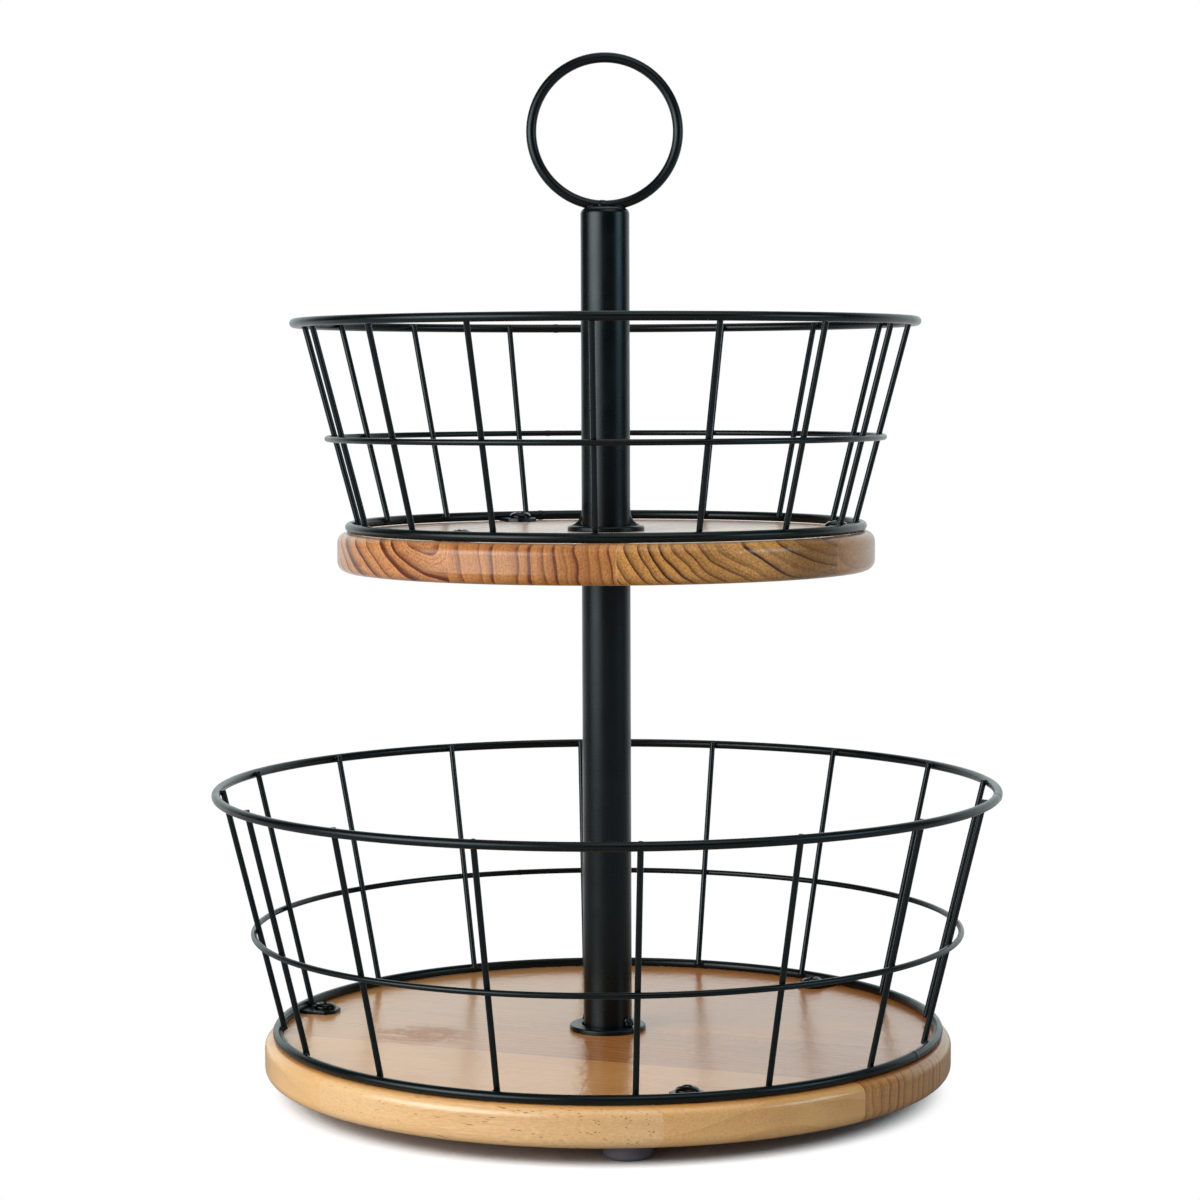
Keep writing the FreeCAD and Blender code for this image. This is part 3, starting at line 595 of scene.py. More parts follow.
def pine(name, board, node):
    """Varnished edge-glued pine for a board's node: coloured wood under a rippled clear coat."""
    varnish = board.varnish
    material, graph = new_material(
        name, Coat_Weight=1.0, Coat_Roughness=varnish.roughness, Coat_IOR=varnish.index,
        Specular_IOR_Level=0.0, Sheen_Weight=varnish.haze, Sheen_Roughness=HAZE_ROUGHNESS,
        Sheen_Tint=HAZE_TINT)
    low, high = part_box(node)
    grain = lay_staves(graph, board, (low.z + high.z) / 2)
    late = growth_rings(graph, grain)
    fibre = graph.grain_noise(grain.place, along=0.05, across=2.2, detail=4.0, roughness=0.65)
    curly = curly_patch(graph, grain, board.curl)
    normal = graph.node("ShaderNodeNewGeometry").outputs["Normal"]
    lengthwise = (math.cos(board.heading), math.sin(board.heading), 0.0)
    end_grain = graph.spread(graph.unsigned(graph.measure("DOT_PRODUCT", normal, lengthwise)), 0.25, 0.9)
    flat = graph.spread(graph.unsigned(graph.axes(normal)[2]), 0.7, 0.98)

    colour = stave_colour(graph, grain, late, fibre, end_grain)
    colour = board_colour(graph, grain, board, colour, flat, curly)
    relief = graph.grown(late, 0.6, graph.times(fibre, 0.4))
    ripple = graph.grain_noise(grain.place, along=0.24, across=0.17, detail=3.0, roughness=0.6)
    ripple = graph.times(ripple, graph.grown(curly, CURL_RIPPLE, 1.0))
    graph.dress(
        Base_Color=colour, Roughness=graph.spread(fibre, 0.3, 0.7, 0.42, 0.58),
        Normal=graph.bump(relief, WOOD_RELIEF), Coat_Normal=graph.bump(ripple, varnish.ripple * MM))
    return material


def new_piece(name, mesh):
    """An object of the mesh, at the origin."""
    piece = bpy.data.objects.new(name, mesh)
    bpy.context.collection.objects.link(piece)
    return piece


def settle(piece, body, slot, *nodes):
    """Ride a finished piece on its body, in place of the nodes that it stands for."""
    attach(piece, body)
    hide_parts(*nodes)


def smooth_mesh(name, shape):
    """A mesh of the shape, smooth except across its sharp edges."""
    limit = math.radians(SHARP_TURN)
    for face in shape.faces:
        face.smooth = True
    for edge in shape.edges:
        edge.smooth = edge.calc_face_angle(0.0) < limit
    mesh = bpy.data.meshes.new(name)
    shape.to_mesh(mesh)
    shape.free()
    return mesh


def finished(name, shape, material):
    """A piece of one shape and one material."""
    mesh = smooth_mesh(name, shape)
    mesh.materials.append(material)
    return new_piece(name, mesh)


def joined(name, meshes, material):
    """A piece of several meshes, each its own closed skin. They go, and so do pieces that held them."""
    whole = bmesh.new()
    for mesh in meshes:
        whole.from_mesh(mesh)
        bpy.data.meshes.remove(mesh)
    for face in whole.faces:
        face.material_index = 0
    mesh = bpy.data.meshes.new(name)
    mesh.materials.append(material)
    whole.to_mesh(mesh)
    whole.free()
    return new_piece(name, mesh)


def skin(rings, closed=False):
    """A shape skinned over rings of points that follow each other; a ring of one point is a pole."""
    shape = bmesh.new()
    made = [[shape.verts.new(point) for point in ring] for ring in rings]
    pairs = list(zip(made, made[1:]))
    if closed:
        pairs.append((made[-1], made[0]))
    for first, second in pairs:
        count = max(len(first), len(second))
        for i in range(count):
            j = (i + 1) % count
            corners = [first[i % len(first)], first[j % len(first)],
                       second[j % len(second)], second[i % len(second)]]
            shape.faces.new(list(dict.fromkeys(corners)))
    bmesh.ops.recalc_face_normals(shape, faces=shape.faces)
    return shape


def rounded(corners, steps=ARC_STEPS):
    """Outline points of (radius, height, rounding) corners, with each rounding drawn as an arc."""
    points = []
    for i, (radius, height, rounding) in enumerate(corners):
        corner = Vector((radius, height))
        if not rounding:
            points.append(corner)
            continue
        before = (Vector(corners[i - 1][:2]) - corner).normalized()
        after = (Vector(corners[(i + 1) % len(corners)][:2]) - corner).normalized()
        half = before.angle(after) / 2
        run = rounding / math.tan(half)
        centre = corner + (before + after).normalized() * rounding / math.sin(half)
        start = corner + before * run - centre
        end = corner + after * run - centre
        sweep = start.angle_signed(end)
        points.append(corner + before * (run + ARC_EASE))
        for step in range(steps + 1):
            points.append(centre + Matrix.Rotation(-sweep * step / steps, 2) @ start)
        points.append(corner + after * (run + ARC_EASE))
    return points


def circle(radius, count):
    """Points (x, y) of a circle about the upright axis."""
    turns = [2 * math.pi * i / count for i in range(count)]
    return [(radius * math.cos(turn), radius * math.sin(turn)) for turn in turns]


def lathe(outline, count=TURNED_POINTS):
    """A turned shape: a closed outline of (radius, height) points taken round the upright axis."""
    rings = []
    for radius, height in outline:
        around = [(0, 0)] if radius < ON_AXIS else circle(radius, count)
        rings.append([Vector((x, y, height)) for x, y in around])
    starts_on_axis = len(rings[0]) == 1
    return skin(rings, closed=not starts_on_axis)


def turned(name, corners, material, body, slot, node, steps=ARC_STEPS):
    """A turned piece with rounded corners, in place of its node."""
    settle(finished(name, lathe(rounded(corners, steps)), material), body, slot, node)


def weld_drop(half_sizes, seed, roughness=DROP_ROUGHNESS):
    """A round drop of weld metal with an uneven skin, its half sizes given in millimetres."""
    shape = bmesh.new()
    bmesh.ops.create_icosphere(shape, subdivisions=DROP_SUBDIVISIONS, radius=1.0)
    for vertex in shape.verts:
        shift = noise.noise(vertex.co * DROP_LUMPS + Vector((seed, 0, 0)))
        vertex.co *= 1 + roughness * shift
        vertex.co = Vector(share * (size * MM) for share, size in zip(vertex.co, half_sizes))
    return shape


def new_tree(name, inputs):
    """An empty node tree with named inputs and one geometry output, its graph and what it is given."""
    tree = bpy.data.node_groups.new(name, "GeometryNodeTree")
    for label, kind in inputs.items():
        tree.interface.new_socket(label, in_out="INPUT", socket_type=f"NodeSocket{kind}")
    tree.interface.new_socket("Geometry", in_out="OUTPUT", socket_type="NodeSocketGeometry")
    graph = Graph(tree)
    return tree, graph, graph.node("NodeGroupInput").outputs


def end_tree(graph, geometry, material):
    """The last nodes of a tree: real geometry in one material."""
    real = graph.output("GeometryNodeRealizeInstances", {"Geometry": geometry})
    painted = graph.output("GeometryNodeSetMaterial", {"Geometry": real, "Material": material})
    graph.node("NodeGroupOutput", {"Geometry": painted})


def hoop_tree():
    """Node tree for a wire bent into a hoop, with a slight swelling where its ends are butted and welded."""
    tree, graph, given = new_tree("wire_hoop", {
        "Radius": "Float", "Wire": "Float", "Centre": "Vector", "Turn": "Vector", "Seam Angle": "Float",
        "Seam Length": "Float", "Seam Swell": "Float", "Segments": "Int", "Material": "Material",
    })
    radius = given["Radius"]
    section, path = [
        graph.output("GeometryNodeCurvePrimitiveCircle", {"Resolution": points, "Radius": reach})
        for points, reach in ((WIRE_POINTS, given["Wire"]), (given["Segments"], radius))
    ]
    wire = graph.output("GeometryNodeCurveToMesh", {"Curve": path, "Profile Curve": section})

    sweep = graph.maths("DIVIDE", given["Seam Length"], radius)
    start = graph.minus(given["Seam Angle"], graph.times(sweep, 0.5))
    seam = graph.output("GeometryNodeCurveArc", {
        "Resolution": SEAM_POINTS, "Radius": radius, "Start Angle": start, "Sweep Angle": sweep})
    factor = graph.node("GeometryNodeSplineParameter").outputs["Factor"]
    # From 0 at both ends of the seam to 1 in its middle.
    hump = graph.times(graph.times(factor, graph.minus(1.0, factor)), 4.0)
    swell = graph.grown(hump, given["Seam Swell"], SEAM_END)
    collar = graph.output("GeometryNodeCurveToMesh", {
        "Curve": seam, "Profile Curve": section, "Scale": swell, "Fill Caps": True})

    both = graph.node("GeometryNodeJoinGeometry")
    for geometry in (wire, collar):
        tree.links.new(geometry, both.inputs[0])
    placed = graph.output("GeometryNodeTransform", {
        "Geometry": both.outputs[0], "Translation": given["Centre"], "Rotation": given["Turn"]})
    end_tree(graph, placed, given["Material"])
    return tree


def copies_tree():
    """Node tree that repeats a piece round the post, each copy turned to face outwards."""
    tree, graph, given = new_tree("copies_round_post", {
        "Piece": "Object", "Count": "Int", "Phase": "Float", "Radius": "Float", "Height": "Float",
        "Vary": "Float", "Seed": "Int", "Material": "Material",
    })
    radius = given["Radius"]
    index = graph.output("GeometryNodeInputIndex")
    step = graph.maths("DIVIDE", 2 * math.pi, given["Count"])
    angle = graph.plus(graph.times(index, step), given["Phase"])
    aside = graph.times(radius, graph.maths("SINE", angle))
    ahead = graph.times(graph.times(radius, -1.0), graph.maths("COSINE", angle))
    place = graph.output("ShaderNodeCombineXYZ", {"X": aside, "Y": ahead, "Z": given["Height"]})
    turn = graph.output("ShaderNodeCombineXYZ", {"Z": angle})
    points = graph.output("GeometryNodePoints", {"Count": given["Count"], "Position": place})
    piece = graph.node(
        "GeometryNodeObjectInfo", {"Object": given["Piece"], "As Instance": True}).outputs["Geometry"]
    least = graph.minus(1.0, given["Vary"])
    most = graph.plus(1.0, given["Vary"])
    limits = {"Min": least, "Max": most, "Seed": given["Seed"]}
    size = graph.output("FunctionNodeRandomValue", limits, data_type="FLOAT_VECTOR")
    placed = graph.output("GeometryNodeInstanceOnPoints", {
        "Points": points, "Instance": piece, "Rotation": turn, "Scale": size})
    end_tree(graph, placed, given["Material"])
    return tree


def run_tree(name, tree, values):
    """A plain mesh piece made by a node tree from the values of its named inputs."""
    piece = new_piece(name, bpy.data.meshes.new(name))
    modifier = piece.modifiers.new("shape", "NODES")
    modifier.node_group = tree
    for item in tree.interface.items_tree:
        if item.in_out == "INPUT":
            modifier[item.identifier] = values[item.name]
    depsgraph = bpy.context.evaluated_depsgraph_get()
    mesh = bpy.data.meshes.new_from_object(piece.evaluated_get(depsgraph))
    piece.modifiers.clear()
    piece.data = mesh
    mesh.name = name
    return piece


def copies(name, pattern, count, phase, material, radius=0.0, height=0.0, vary=0.0, seed=1):
    """Copies of a pattern shape round the post, as one piece, whose sizes vary at random by a share."""
    source = new_piece(f"{name}_pattern", smooth_mesh(f"{name}_pattern", pattern))
    piece = run_tree(name, COPIES, {
        "Piece": source, "Count": count, "Phase": math.radians(phase), "Radius": radius, "Height": height,
        "Vary": vary, "Seed": seed, "Material": material,
    })
    bpy.data.objects.remove(source)
    return piece


def bent_wire(name, size, turn, seam_angle, seam_swell, points):
    """A hoop of black wire as one smooth piece, its seam at an angle in degrees."""
    piece = run_tree(name, HOOPS, {
        "Radius": size.radius, "Wire": size.wire, "Centre": (0, 0, size.height), "Turn": turn,
        "Seam Angle": math.radians(seam_angle), "Seam Length": SEAM_LENGTH, "Seam Swell": seam_swell,
        "Segments": points, "Material": BLACK,
    })
    for polygon in piece.data.polygons:
        polygon.use_smooth = True
    return piece


def radius_of(node):
    """The radius of a round node that stands on the post's axis."""
    low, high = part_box(node)
    return (high.x - low.x) / 2


# A hoop's radius at the centre of its wire, its wire's radius and the height of its centre.
Hoop = namedtuple("Hoop", "radius wire height")


def hoop_size(node):
    """A basket's hoop from its node's box."""
    low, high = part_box(node)
    wire = (high.z - low.z) / 2
    radius = high.x - wire
    height = (low.z + high.z) / 2
    if node in RING_SETTLE:
        return Hoop(radius, wire + RING_SWELL, height - RING_SETTLE[node])
    return Hoop(radius, wire, height)


def upright_shape(foot, top):
    """A straight wire between two points, its ends cut square with the sharp edge taken off."""
    length = (top - foot).length
    wire = UPRIGHT_WIRE / 2
    outline = rounded([
        (0, 0, 0), (wire, 0, UPRIGHT_END_EDGE), (wire, length, UPRIGHT_END_EDGE), (0, length, 0),
    ], SMALL_ARC_STEPS)
    shape = lathe(outline, WIRE_POINTS)
    lean = Vector((0, 0, 1)).rotation_difference(top - foot)
    shape.transform(Matrix.Translation(foot) @ lean.to_matrix().to_4x4())
    return shape


def build_uprights(tier, body, hoops):
    """A tier's straight wires, which lie inside its hoops, and the drops of weld metal that join them."""
    ring = hoops[0]
    rim = hoops[-1]
    slope = (rim.radius - ring.radius) / (rim.height - ring.height)
    stretch = math.hypot(1, slope)
    inward = ring.wire + UPRIGHT_WIRE / 2 - UPRIGHT_SINK
    upright_nodes = sorted(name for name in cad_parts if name.startswith(f"{tier}_upright_"))
    low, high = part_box(upright_nodes[0])
    centre = (low + high) / 2
    phase = math.degrees(math.atan2(centre.x, -centre.y))
    end_rise = UPRIGHT_WIRE / 2 * slope / stretch

    def axis_at(height):
        radius = ring.radius + slope * (height - ring.height) - inward * stretch
        return Vector((0, -radius, height))

    pattern = upright_shape(axis_at(low.z + end_rise), axis_at(high.z - end_rise))
    count = len(upright_nodes)
    uprights = copies(f"{tier}_upright_wires", pattern, count, phase, BLACK)
    settle(uprights, body, "black_coat", *upright_nodes)

    rows = []
    lean = Matrix.Rotation(-math.atan(slope), 4, "X")
    for number, (hoop, half_sizes) in enumerate(zip(hoops, DROP_HALF_SIZES)):
        drop = weld_drop(half_sizes, DROP_SKIN_STEP * number)
        drop.transform(lean)
        rows.append(copies(
            f"{tier}_bead_{number}", drop, count, phase, BLACK, hoop.radius - hoop.wire / stretch,
            hoop.height + hoop.wire * slope / stretch, DROP_VARIETY, DROP_SEED + number))
    welds = joined(f"{tier}_upright_welds", [row.data for row in rows], BLACK)
    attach(welds, body)


def tab_shape(outer, inner):
    """A flat tab that lies on the board from the ring's wire inwards, with cut corners and softened edges."""
    half = TAB_WIDTH / 2
    outline = [
        (-half, -outer), (half, -outer), (half, -inner - TAB_CORNER), (half - TAB_CORNER, -inner),
        (TAB_CORNER - half, -inner), (-half, -inner - TAB_CORNER),
    ]
    shape = bmesh.new()
    base = shape.faces.new([shape.verts.new((x, y, 0)) for x, y in outline])
    raised = bmesh.ops.extrude_face_region(shape, geom=[base])["geom"]
    corners = [item for item in raised if isinstance(item, bmesh.types.BMVert)]
    bmesh.ops.translate(shape, verts=corners, vec=(0, 0, TAB_THICKNESS))
    bmesh.ops.recalc_face_normals(shape, faces=shape.faces)

    def soften(edges, offset):
        bmesh.ops.bevel(
            shape, geom=edges, offset=offset, segments=TAB_EDGE_STEPS, affect="EDGES", profile=0.5)

    half_way = TAB_THICKNESS / 2
    sides = [edge for edge in shape.edges if abs(edge.verts[0].co.z - edge.verts[1].co.z) > half_way]
    soften(sides, TAB_SIDE_EDGE)
    top = [edge for edge in shape.edges if all(vertex.co.z > half_way for vertex in edge.verts)]
    soften(top, TAB_TOP_EDGE)
    return shape


def screw_shape():
    """A domed screw with a cross recess in its head and a plain shank below."""
    def inside(distance, limit):
        return min(max((limit - distance) / RECESS_SOFTNESS + 0.5, 0.0), 1.0)

    def head_height(x, y):
        radius = math.hypot(x, y)
        crown = SCREW_CROWN - SCREW_RIM
        dome = SCREW_RIM + crown * math.sqrt(max(1 - (radius / SCREW_HEAD) ** 2, 0.0))
        first = inside(abs(x), RECESS_ARM) * inside(abs(y), RECESS_HALF_WIDTH)
        second = inside(abs(y), RECESS_ARM) * inside(abs(x), RECESS_HALF_WIDTH)
        depth = RECESS_DEPTH - RECESS_TAPER * radius
        return dome - max(first, second) * max(depth - (SCREW_CROWN - dome), 0.0)

    rings = [[Vector((0, 0, head_height(0, 0)))]]
    for layer in range(1, SCREW_LAYERS + 1):
        radius = SCREW_HEAD * math.sin(math.pi / 2 * layer / SCREW_LAYERS)
        rings.append([Vector((x, y, head_height(x, y))) for x, y in circle(radius, SCREW_POINTS)])
    for radius, height in ((SCREW_HEAD, 0.0), (SCREW_SHANK, 0.0), (SCREW_SHANK, SCREW_TIP - SCREW_LENGTH)):
        rings.append([Vector((x, y, height)) for x, y in circle(radius, SCREW_POINTS)])
    rings.append([Vector((0, 0, -SCREW_LENGTH))])
    shape = skin(rings)
    shape.transform(Matrix.Rotation(math.radians(SCREW_TURN), 4, "Z"))
    return shape


def build_tabs(tier, body, ring):
    """A tier's flat tabs, which reach inwards from its bottom ring, and the screws that hold them."""
    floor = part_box(f"{tier}_tabs")[0].z
    screw_radius = ring.radius - TAB_SCREW_INSET
    plates = copies(
        f"{tier}_tab_plates", tab_shape(ring.radius - ring.wire, screw_radius - TAB_LIP), TAB_COUNT,
        TAB_PHASES[tier], BLACK, height=floor)
    settle(plates, body, "black_coat", f"{tier}_tabs")
    screws = copies(
        f"{tier}_tab_screw_domes", screw_shape(), TAB_COUNT, TAB_PHASES[tier], GLOSS_BLACK,
        screw_radius, floor + TAB_THICKNESS)
    settle(screws, body, "black_screw", f"{tier}_tab_screws")


def build_basket(tier):
    """One tier's hoops, uprights, tabs and screws."""
    body = BODY_OF_TIER[tier]
    nodes = [f"{tier}_bottom_ring", f"{tier}_mid_hoop", f"{tier}_rim"]
    hoops = [hoop_size(node) for node in nodes]
    for node, hoop in zip(nodes, hoops):
        wire = bent_wire(f"{node}_wire", hoop, (0, 0, 0), FRONT + SEAM_PHASES[node], SEAM_SWELL, HOOP_POINTS)
        settle(wire, body, "black_coat", node)
    build_uprights(tier, body, hoops)
    build_tabs(tier, body, hoops[0])


def fillet_weld(base, phase):
    """A weld in the corner of tube and washer: hollow-faced, high in its middle and thin at its ends."""
    post = radius_of("lower_post")
    rings = []
    for step in range(-FILLET_HALF_STEPS, FILLET_HALF_STEPS + 1):
        share = step / FILLET_HALF_STEPS
        swell = max(1 - share * share, 0.0) ** FILLET_TAPER
        wave = noise.noise(Vector((step * FILLET_RIPPLE_STEP, phase, FILLET_RIPPLE_ROW)))
        ripple = 1 + FILLET_RIPPLE * wave
        angle = math.radians(FRONT + phase + share * FILLET_HALF_ANGLE)
        rise = FILLET_RISE * swell * ripple
        reach = FILLET_REACH * swell * ripple
        outline = [(post - FILLET_SINK, base - FILLET_SINK)]
        for i in range(FILLET_SECTION_STEPS + 1):
            turn = math.pi / 2 * i / FILLET_SECTION_STEPS
            out = max(math.cos(turn), 0.0) ** FILLET_HOLLOW
            up = max(math.sin(turn), 0.0) ** FILLET_HOLLOW
            outline.append((post + reach * out, base + rise * up))
        rings.append([Vector((r * math.cos(angle), r * math.sin(angle), z)) for r, z in outline])
    first, last = [sum(ring, Vector()) / len(ring) for ring in (rings[0], rings[-1])]
    return smooth_mesh("fillet", skin([[first]] + rings[1:-1] + [[last]]))


def tack_weld(base, phase):
    """A short weld: drops of metal heaped up in the corner of a tube and its washer."""
    post = radius_of("lower_post")
    drops = []
    for number, ((aside, out, up), half_sizes) in enumerate(TACK_DROPS):
        drop = weld_drop(half_sizes, phase + TACK_SKIN_STEP * number, TACK_ROUGHNESS)
        drop.transform(Matrix.Translation((aside * MM, -post - out * MM, base + up * MM)))
        drop.transform(Matrix.Rotation(math.radians(phase), 4, "Z"))
        drops.append(smooth_mesh("tack_drop", drop))
    return drops


def build_boards():
    """The lower board, recessed underneath for its bolt and washer, and the upper one, bored for the stud."""
    low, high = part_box("lower_board")
    recess = radius_of("base_washer") + WASHER_RECESS_GAP
    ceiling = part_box("base_washer")[1].z
    turned("lower_board_wood", [
        (BOLT_HOLE, ceiling, 0), (recess, ceiling, 0), (recess, low.z, HOLE_EDGE),
        (high.x, low.z, BOARD_ROUNDING), (high.x, high.z, BOARD_ROUNDING), (BOLT_HOLE, high.z, HOLE_EDGE),
    ], PALE_WOOD, "base", "pale_wood", "lower_board")

    low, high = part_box("upper_board")
    bore = radius_of("post_stud") + STUD_HOLE_GAP
    turned("upper_board_wood", [
        (bore, low.z, HOLE_EDGE), (high.x, low.z, BOARD_ROUNDING),
        (high.x, high.z, BOARD_ROUNDING), (bore, high.z, HOLE_EDGE),
    ], BROWN_WOOD, "upper_tray", "brown_wood", "upper_board")


def build_post(post, flange, body):
    """A tube and the washer round its foot."""
    inside = radius_of("lower_post_socket")
    low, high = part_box(post)
    turned(f"{post}_tube", [
        (inside, low.z, TUBE_EDGE), (high.x, low.z, TUBE_EDGE),
        (high.x, high.z, TUBE_EDGE), (inside, high.z, TUBE_EDGE),
    ], BLACK, body, "black_coat", post, SMALL_ARC_STEPS)

    bore = high.x + FLANGE_BORE_GAP
    low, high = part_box(flange)
    turned(f"{flange}_washer", [
        (bore, low.z, 0), (high.x, low.z, FLANGE_UNDER_EDGE),
        (high.x, high.z, FLANGE_TOP_EDGE), (bore, high.z, FLANGE_BORE_EDGE),
    ], BLACK, body, "black_coat", flange)


def build_handle():
    """The ring handle, a hoop that stands upright."""
    low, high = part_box("ring_handle")
    wire = (high.y - low.y) / 2
    size = Hoop((high.x - low.x) / 2 - wire, wire, (low.z + high.z) / 2)
    upright = (math.radians(90), 0, 0)
    handle = bent_wire(
        "ring_handle_wire", size, upright, HANDLE_SEAM_ANGLE, HANDLE_SEAM_SWELL, HANDLE_POINTS)
    settle(handle, "screw_post", "black_coat", "ring_handle")


def thread_shape():
    """The stud with its right-hand thread, its ends chamfered."""
    low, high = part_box("post_stud")
    outside = radius_of("post_stud")
    layers = round((high.z - low.z) / THREAD_PITCH * THREAD_LAYERS)
    rings = [[Vector((0, 0, low.z))]]
    for layer in range(layers + 1):
        height = low.z + (high.z - low.z) * layer / layers
        from_end = min(height - low.z, high.z - height)
        ring = []
        for i in range(THREAD_POINTS):
            share = i / THREAD_POINTS
            winding = (height / THREAD_PITCH - share) % 1.0
            flank = min(max(abs(winding - 0.5) * 2 * THREAD_STEEPNESS - THREAD_ROOT, 0.0), 1.0)
            radius = outside - THREAD_DEPTH * (1 - flank)
            radius = min(radius, outside - THREAD_DEPTH + from_end)
            angle = 2 * math.pi * share
            ring.append(Vector((radius * math.cos(angle), radius * math.sin(angle), height)))
        rings.append(ring)
    rings.append([Vector((0, 0, high.z))])
    return skin(rings)


def build_posts():
    """Both tubes with their washers and welds, the cap, the ring handle and the stud."""
    build_post("lower_post", "lower_flange", "base")
    build_post("upper_post", "upper_flange", "screw_post")

    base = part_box("lower_flange")[1].z
    drops = [drop for phase in TACK_PHASES for drop in tack_weld(base, phase)]
    settle(joined("lower_flange_beads", drops, BLACK), "base", "black_coat", "lower_flange_welds")

    low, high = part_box("post_cap")
    turned("post_cap_lid", [
        (0, low.z, 0), (high.x, low.z, 0), (high.x, high.z, CAP_ROUNDING), (0, high.z, 0),
    ], BLACK, "screw_post", "black_coat", "post_cap", CAP_ARC_STEPS)
    build_handle()

    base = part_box("upper_flange")[1].z
    welds = [fillet_weld(base, phase) for phase in FILLET_PHASES]
    for number, (side, face) in enumerate(((-1, -1), (-1, 1), (1, -1), (1, 1))):
        drop = weld_drop(HANDLE_DROP, HANDLE_DROP_SKIN_STEP * number)
        drop.transform(Matrix.Translation((
            side * HANDLE_DROP_ASIDE, face * HANDLE_DROP_OUT, high.z + HANDLE_DROP_RISE)))
        welds.append(smooth_mesh("handle_drop", drop))
    settle(joined("upper_post_beads", welds, BLACK), "screw_post", "black_coat", "upper_post_welds")

    settle(finished("post_stud_thread", thread_shape(), STEEL), "screw_post", "bare_steel", "post_stud")


def build_feet():
    """Rubber feet under the lower board, each hollow below for its screw."""
    low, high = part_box("feet")
    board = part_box("lower_board")[1].x
    seat = high.z - FOOT_SEAT
    outline = rounded([
        (FOOT_HOLLOW, low.z, FOOT_HOLLOW_EDGE), (FOOT_RADIUS, low.z, FOOT_TREAD_EDGE),
        (FOOT_RADIUS, high.z, FOOT_TOP_EDGE), (FOOT_SCREW_HOLE, high.z, 0),
        (FOOT_SCREW_HOLE, seat, 0), (FOOT_HOLLOW, seat, 0),
    ])
    pattern = lathe(outline, FOOT_POINTS)
    feet = copies("feet_rubber", pattern, FOOT_COUNT, FOOT_PHASE, RUBBER, board - FOOT_INSET)
    settle(feet, "base", "foot_rubber", "feet")


def dress_fasteners():
    """Steel on the fasteners whose solids stay as they are."""
    for name in ("base_bolt", "base_washer", "foot_screws", "lower_post_nut", "lower_post_socket",
                 "upper_post_nut"):
        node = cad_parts[name]
        node.data.materials.clear()
        node.data.materials.append(STEEL)


def place_camera():
    """The camera at the photograph's viewing angle."""
    lens = bpy.data.cameras.new("photo_camera")
    lens.sensor_width = SENSOR_WIDTH
    lens.lens = FOCAL_LENGTH
    camera = bpy.data.objects.new("photo_camera", lens)
    turn = Matrix.Rotation(CAMERA_TILT, 4, "X") @ Matrix.Rotation(CAMERA_LEAN, 4, "Z")
    camera.matrix_world = Matrix.Translation(CAMERA_PLACE) @ turn
    bpy.context.collection.objects.link(camera)
    bpy.context.scene.camera = camera


def hang_softbox(box):
    """A rectangular lamp that looks at the middle of the basket."""
    lamp = bpy.data.lights.new(box.name, "AREA")
    lamp.shape = "RECTANGLE"
    lamp.size = box.width
    lamp.size_y = box.height
    lamp.energy = box.power
    lamp.color = box.colour
    lamp.use_nodes = True
    graph = Graph(lamp.node_tree)
    spot = graph.node("ShaderNodeNewGeometry").outputs["Parametric"]
    aside = graph.measure("DISTANCE", spot, SOFTBOX_CENTRE)
    glow = graph.spread(aside, SOFTBOX_DARK_RADIUS, SOFTBOX_BRIGHT_RADIUS, 0.0, SOFTBOX_PEAK)
    graph.feed(lamp.node_tree.nodes["Emission"].inputs["Strength"], glow)
    holder = bpy.data.objects.new(box.name, lamp)
    look = (LIGHT_TARGET - Vector(box.place)).to_track_quat("-Z", "Y")
    holder.matrix_world = Matrix.Translation(box.place) @ look.to_matrix().to_4x4()
    holder.visible_camera = False
    bpy.context.collection.objects.link(holder)


def light_studio():
    """Softboxes, and a room that looks white, mirrors as a backdrop and gives soft light all round."""
    for box in SOFTBOXES:
        hang_softbox(box)
    world = bpy.data.worlds.new("white_studio")
    bpy.context.scene.world = world
    world.use_nodes = True
    graph = Graph(world.node_tree)
    path = graph.node("ShaderNodeLightPath").outputs
    aside, ahead, up = graph.axes(graph.node("ShaderNodeTexCoord").outputs["Generated"])
    # The backdrop stands behind the basket, a little to the right, and is brightest in a low band.
    behind = graph.spread(graph.grown(aside, 0.17, ahead), 0.45, 0.75)
    low_band = graph.times(graph.spread(up, -0.25, -0.15), graph.spread(up, 0.7, 0.35))
    backdrop = graph.times(behind, graph.grown(low_band, 0.6, 0.4))
    mirrored = graph.mix(graph.plus(backdrop, 0.02), NO_LIGHT, BACKDROP)
    around = graph.mix(graph.spread(up, -0.1, 0.6), ROOM_LIGHT_LOW, ROOM_LIGHT_HIGH)
    seen = graph.maths("MAXIMUM", path["Is Camera Ray"], path["Is Transmission Ray"])
    colour = graph.mix(path["Is Glossy Ray"], around, mirrored)
    graph.feed(world.node_tree.nodes["Background"].inputs["Color"], graph.mix(seen, colour, WHITE))


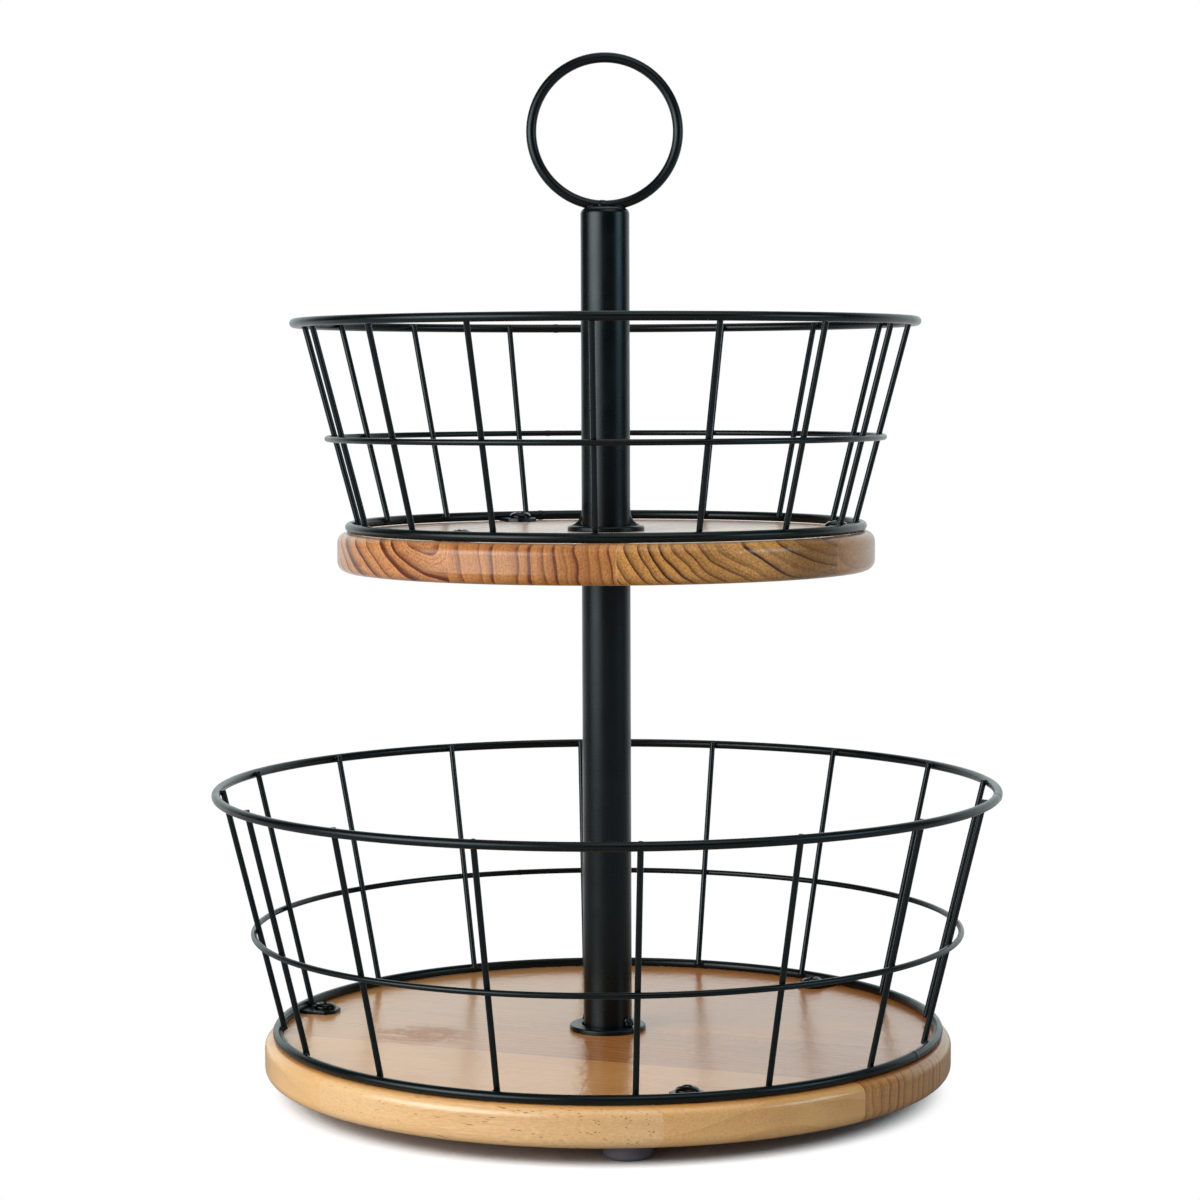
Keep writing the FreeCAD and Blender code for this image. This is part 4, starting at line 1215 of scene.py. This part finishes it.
def lay_floor():
    """A pale floor with the shadow under the basket, plain white further off and clear from below."""
    shape = bmesh.new()
    bmesh.ops.create_grid(shape, x_segments=2, y_segments=2, size=FLOOR_HALF)
    mesh = bpy.data.meshes.new("pale_floor")
    shape.to_mesh(mesh)
    shape.free()
    material = bpy.data.materials.new("pale_floor")
    material.use_nodes = True
    graph = Graph(material.node_tree)
    path = graph.node("ShaderNodeLightPath").outputs
    seen = path["Is Camera Ray"]
    place = graph.place()
    away = graph.measure("LENGTH", place)
    white_seen = graph.times(graph.spread(away, SHADOW_FADE_START, SHADOW_FADE_END), seen)
    white_far = graph.spread(away, MIRROR_FADE_START, MIRROR_FADE_END)
    white_mirrored = graph.times(white_far, path["Is Glossy Ray"])
    white = graph.maths("MAXIMUM", white_seen, white_mirrored)
    contact = {"Distance": CONTACT_DISTANCE}
    open_air = graph.node("ShaderNodeAmbientOcclusion", contact, samples=CONTACT_SAMPLES).outputs["AO"]
    shaded = graph.mix(graph.spread(open_air, 0.1, 0.5), FLOOR_IN_SHADE, FLOOR_IN_LIGHT)
    colour = graph.mix(seen, FLOOR_BOUNCE, shaded)
    matt = graph.output("ShaderNodeBsdfDiffuse", {"Color": colour})
    depth = graph.axes(place)[1]
    mirrored = graph.spread(depth, MIRROR_NEAR_DEPTH, MIRROR_FAR_DEPTH, MIRROR_NEAR_GLOW, MIRROR_FAR_GLOW)
    brightness = graph.maths("MAXIMUM", seen, mirrored)
    glow = graph.output("ShaderNodeEmission", {"Color": WHITE, "Strength": brightness})
    above = graph.output("ShaderNodeMixShader", {0: white, 1: matt, 2: glow})
    below = graph.node("ShaderNodeNewGeometry").outputs["Backfacing"]
    clear = graph.output("ShaderNodeBsdfTransparent")
    sided = graph.output("ShaderNodeMixShader", {0: below, 1: above, 2: clear})
    graph.feed(material.node_tree.nodes["Material Output"].inputs["Surface"], sided)
    mesh.materials.append(material)
    new_piece("pale_floor", mesh)


BLACK = coated_steel("black_coat_satin", tone(3, 8, 10), tone(7, 12, 14), 0.25, 0.33, 0.012 * MM)
GLOSS_BLACK = coated_steel("black_screw_gloss", tone(3, 4, 5), tone(6, 7, 8), 0.08, 0.14, 0.004 * MM)
RUBBER = rubber("slate_rubber")
STEEL = bright_steel("plated_steel")
PALE_WOOD = pine("pale_pine", LOWER_BOARD, "lower_board")
BROWN_WOOD = pine("brown_pine", UPPER_BOARD, "upper_board")
HOOPS = hoop_tree()
COPIES = copies_tree()

bpy.context.scene.view_settings.view_transform = "Standard"
place_camera()
light_studio()
lay_floor()
build_boards()
build_posts()
build_feet()
build_basket("lower")
build_basket("upper")
dress_fasteners()
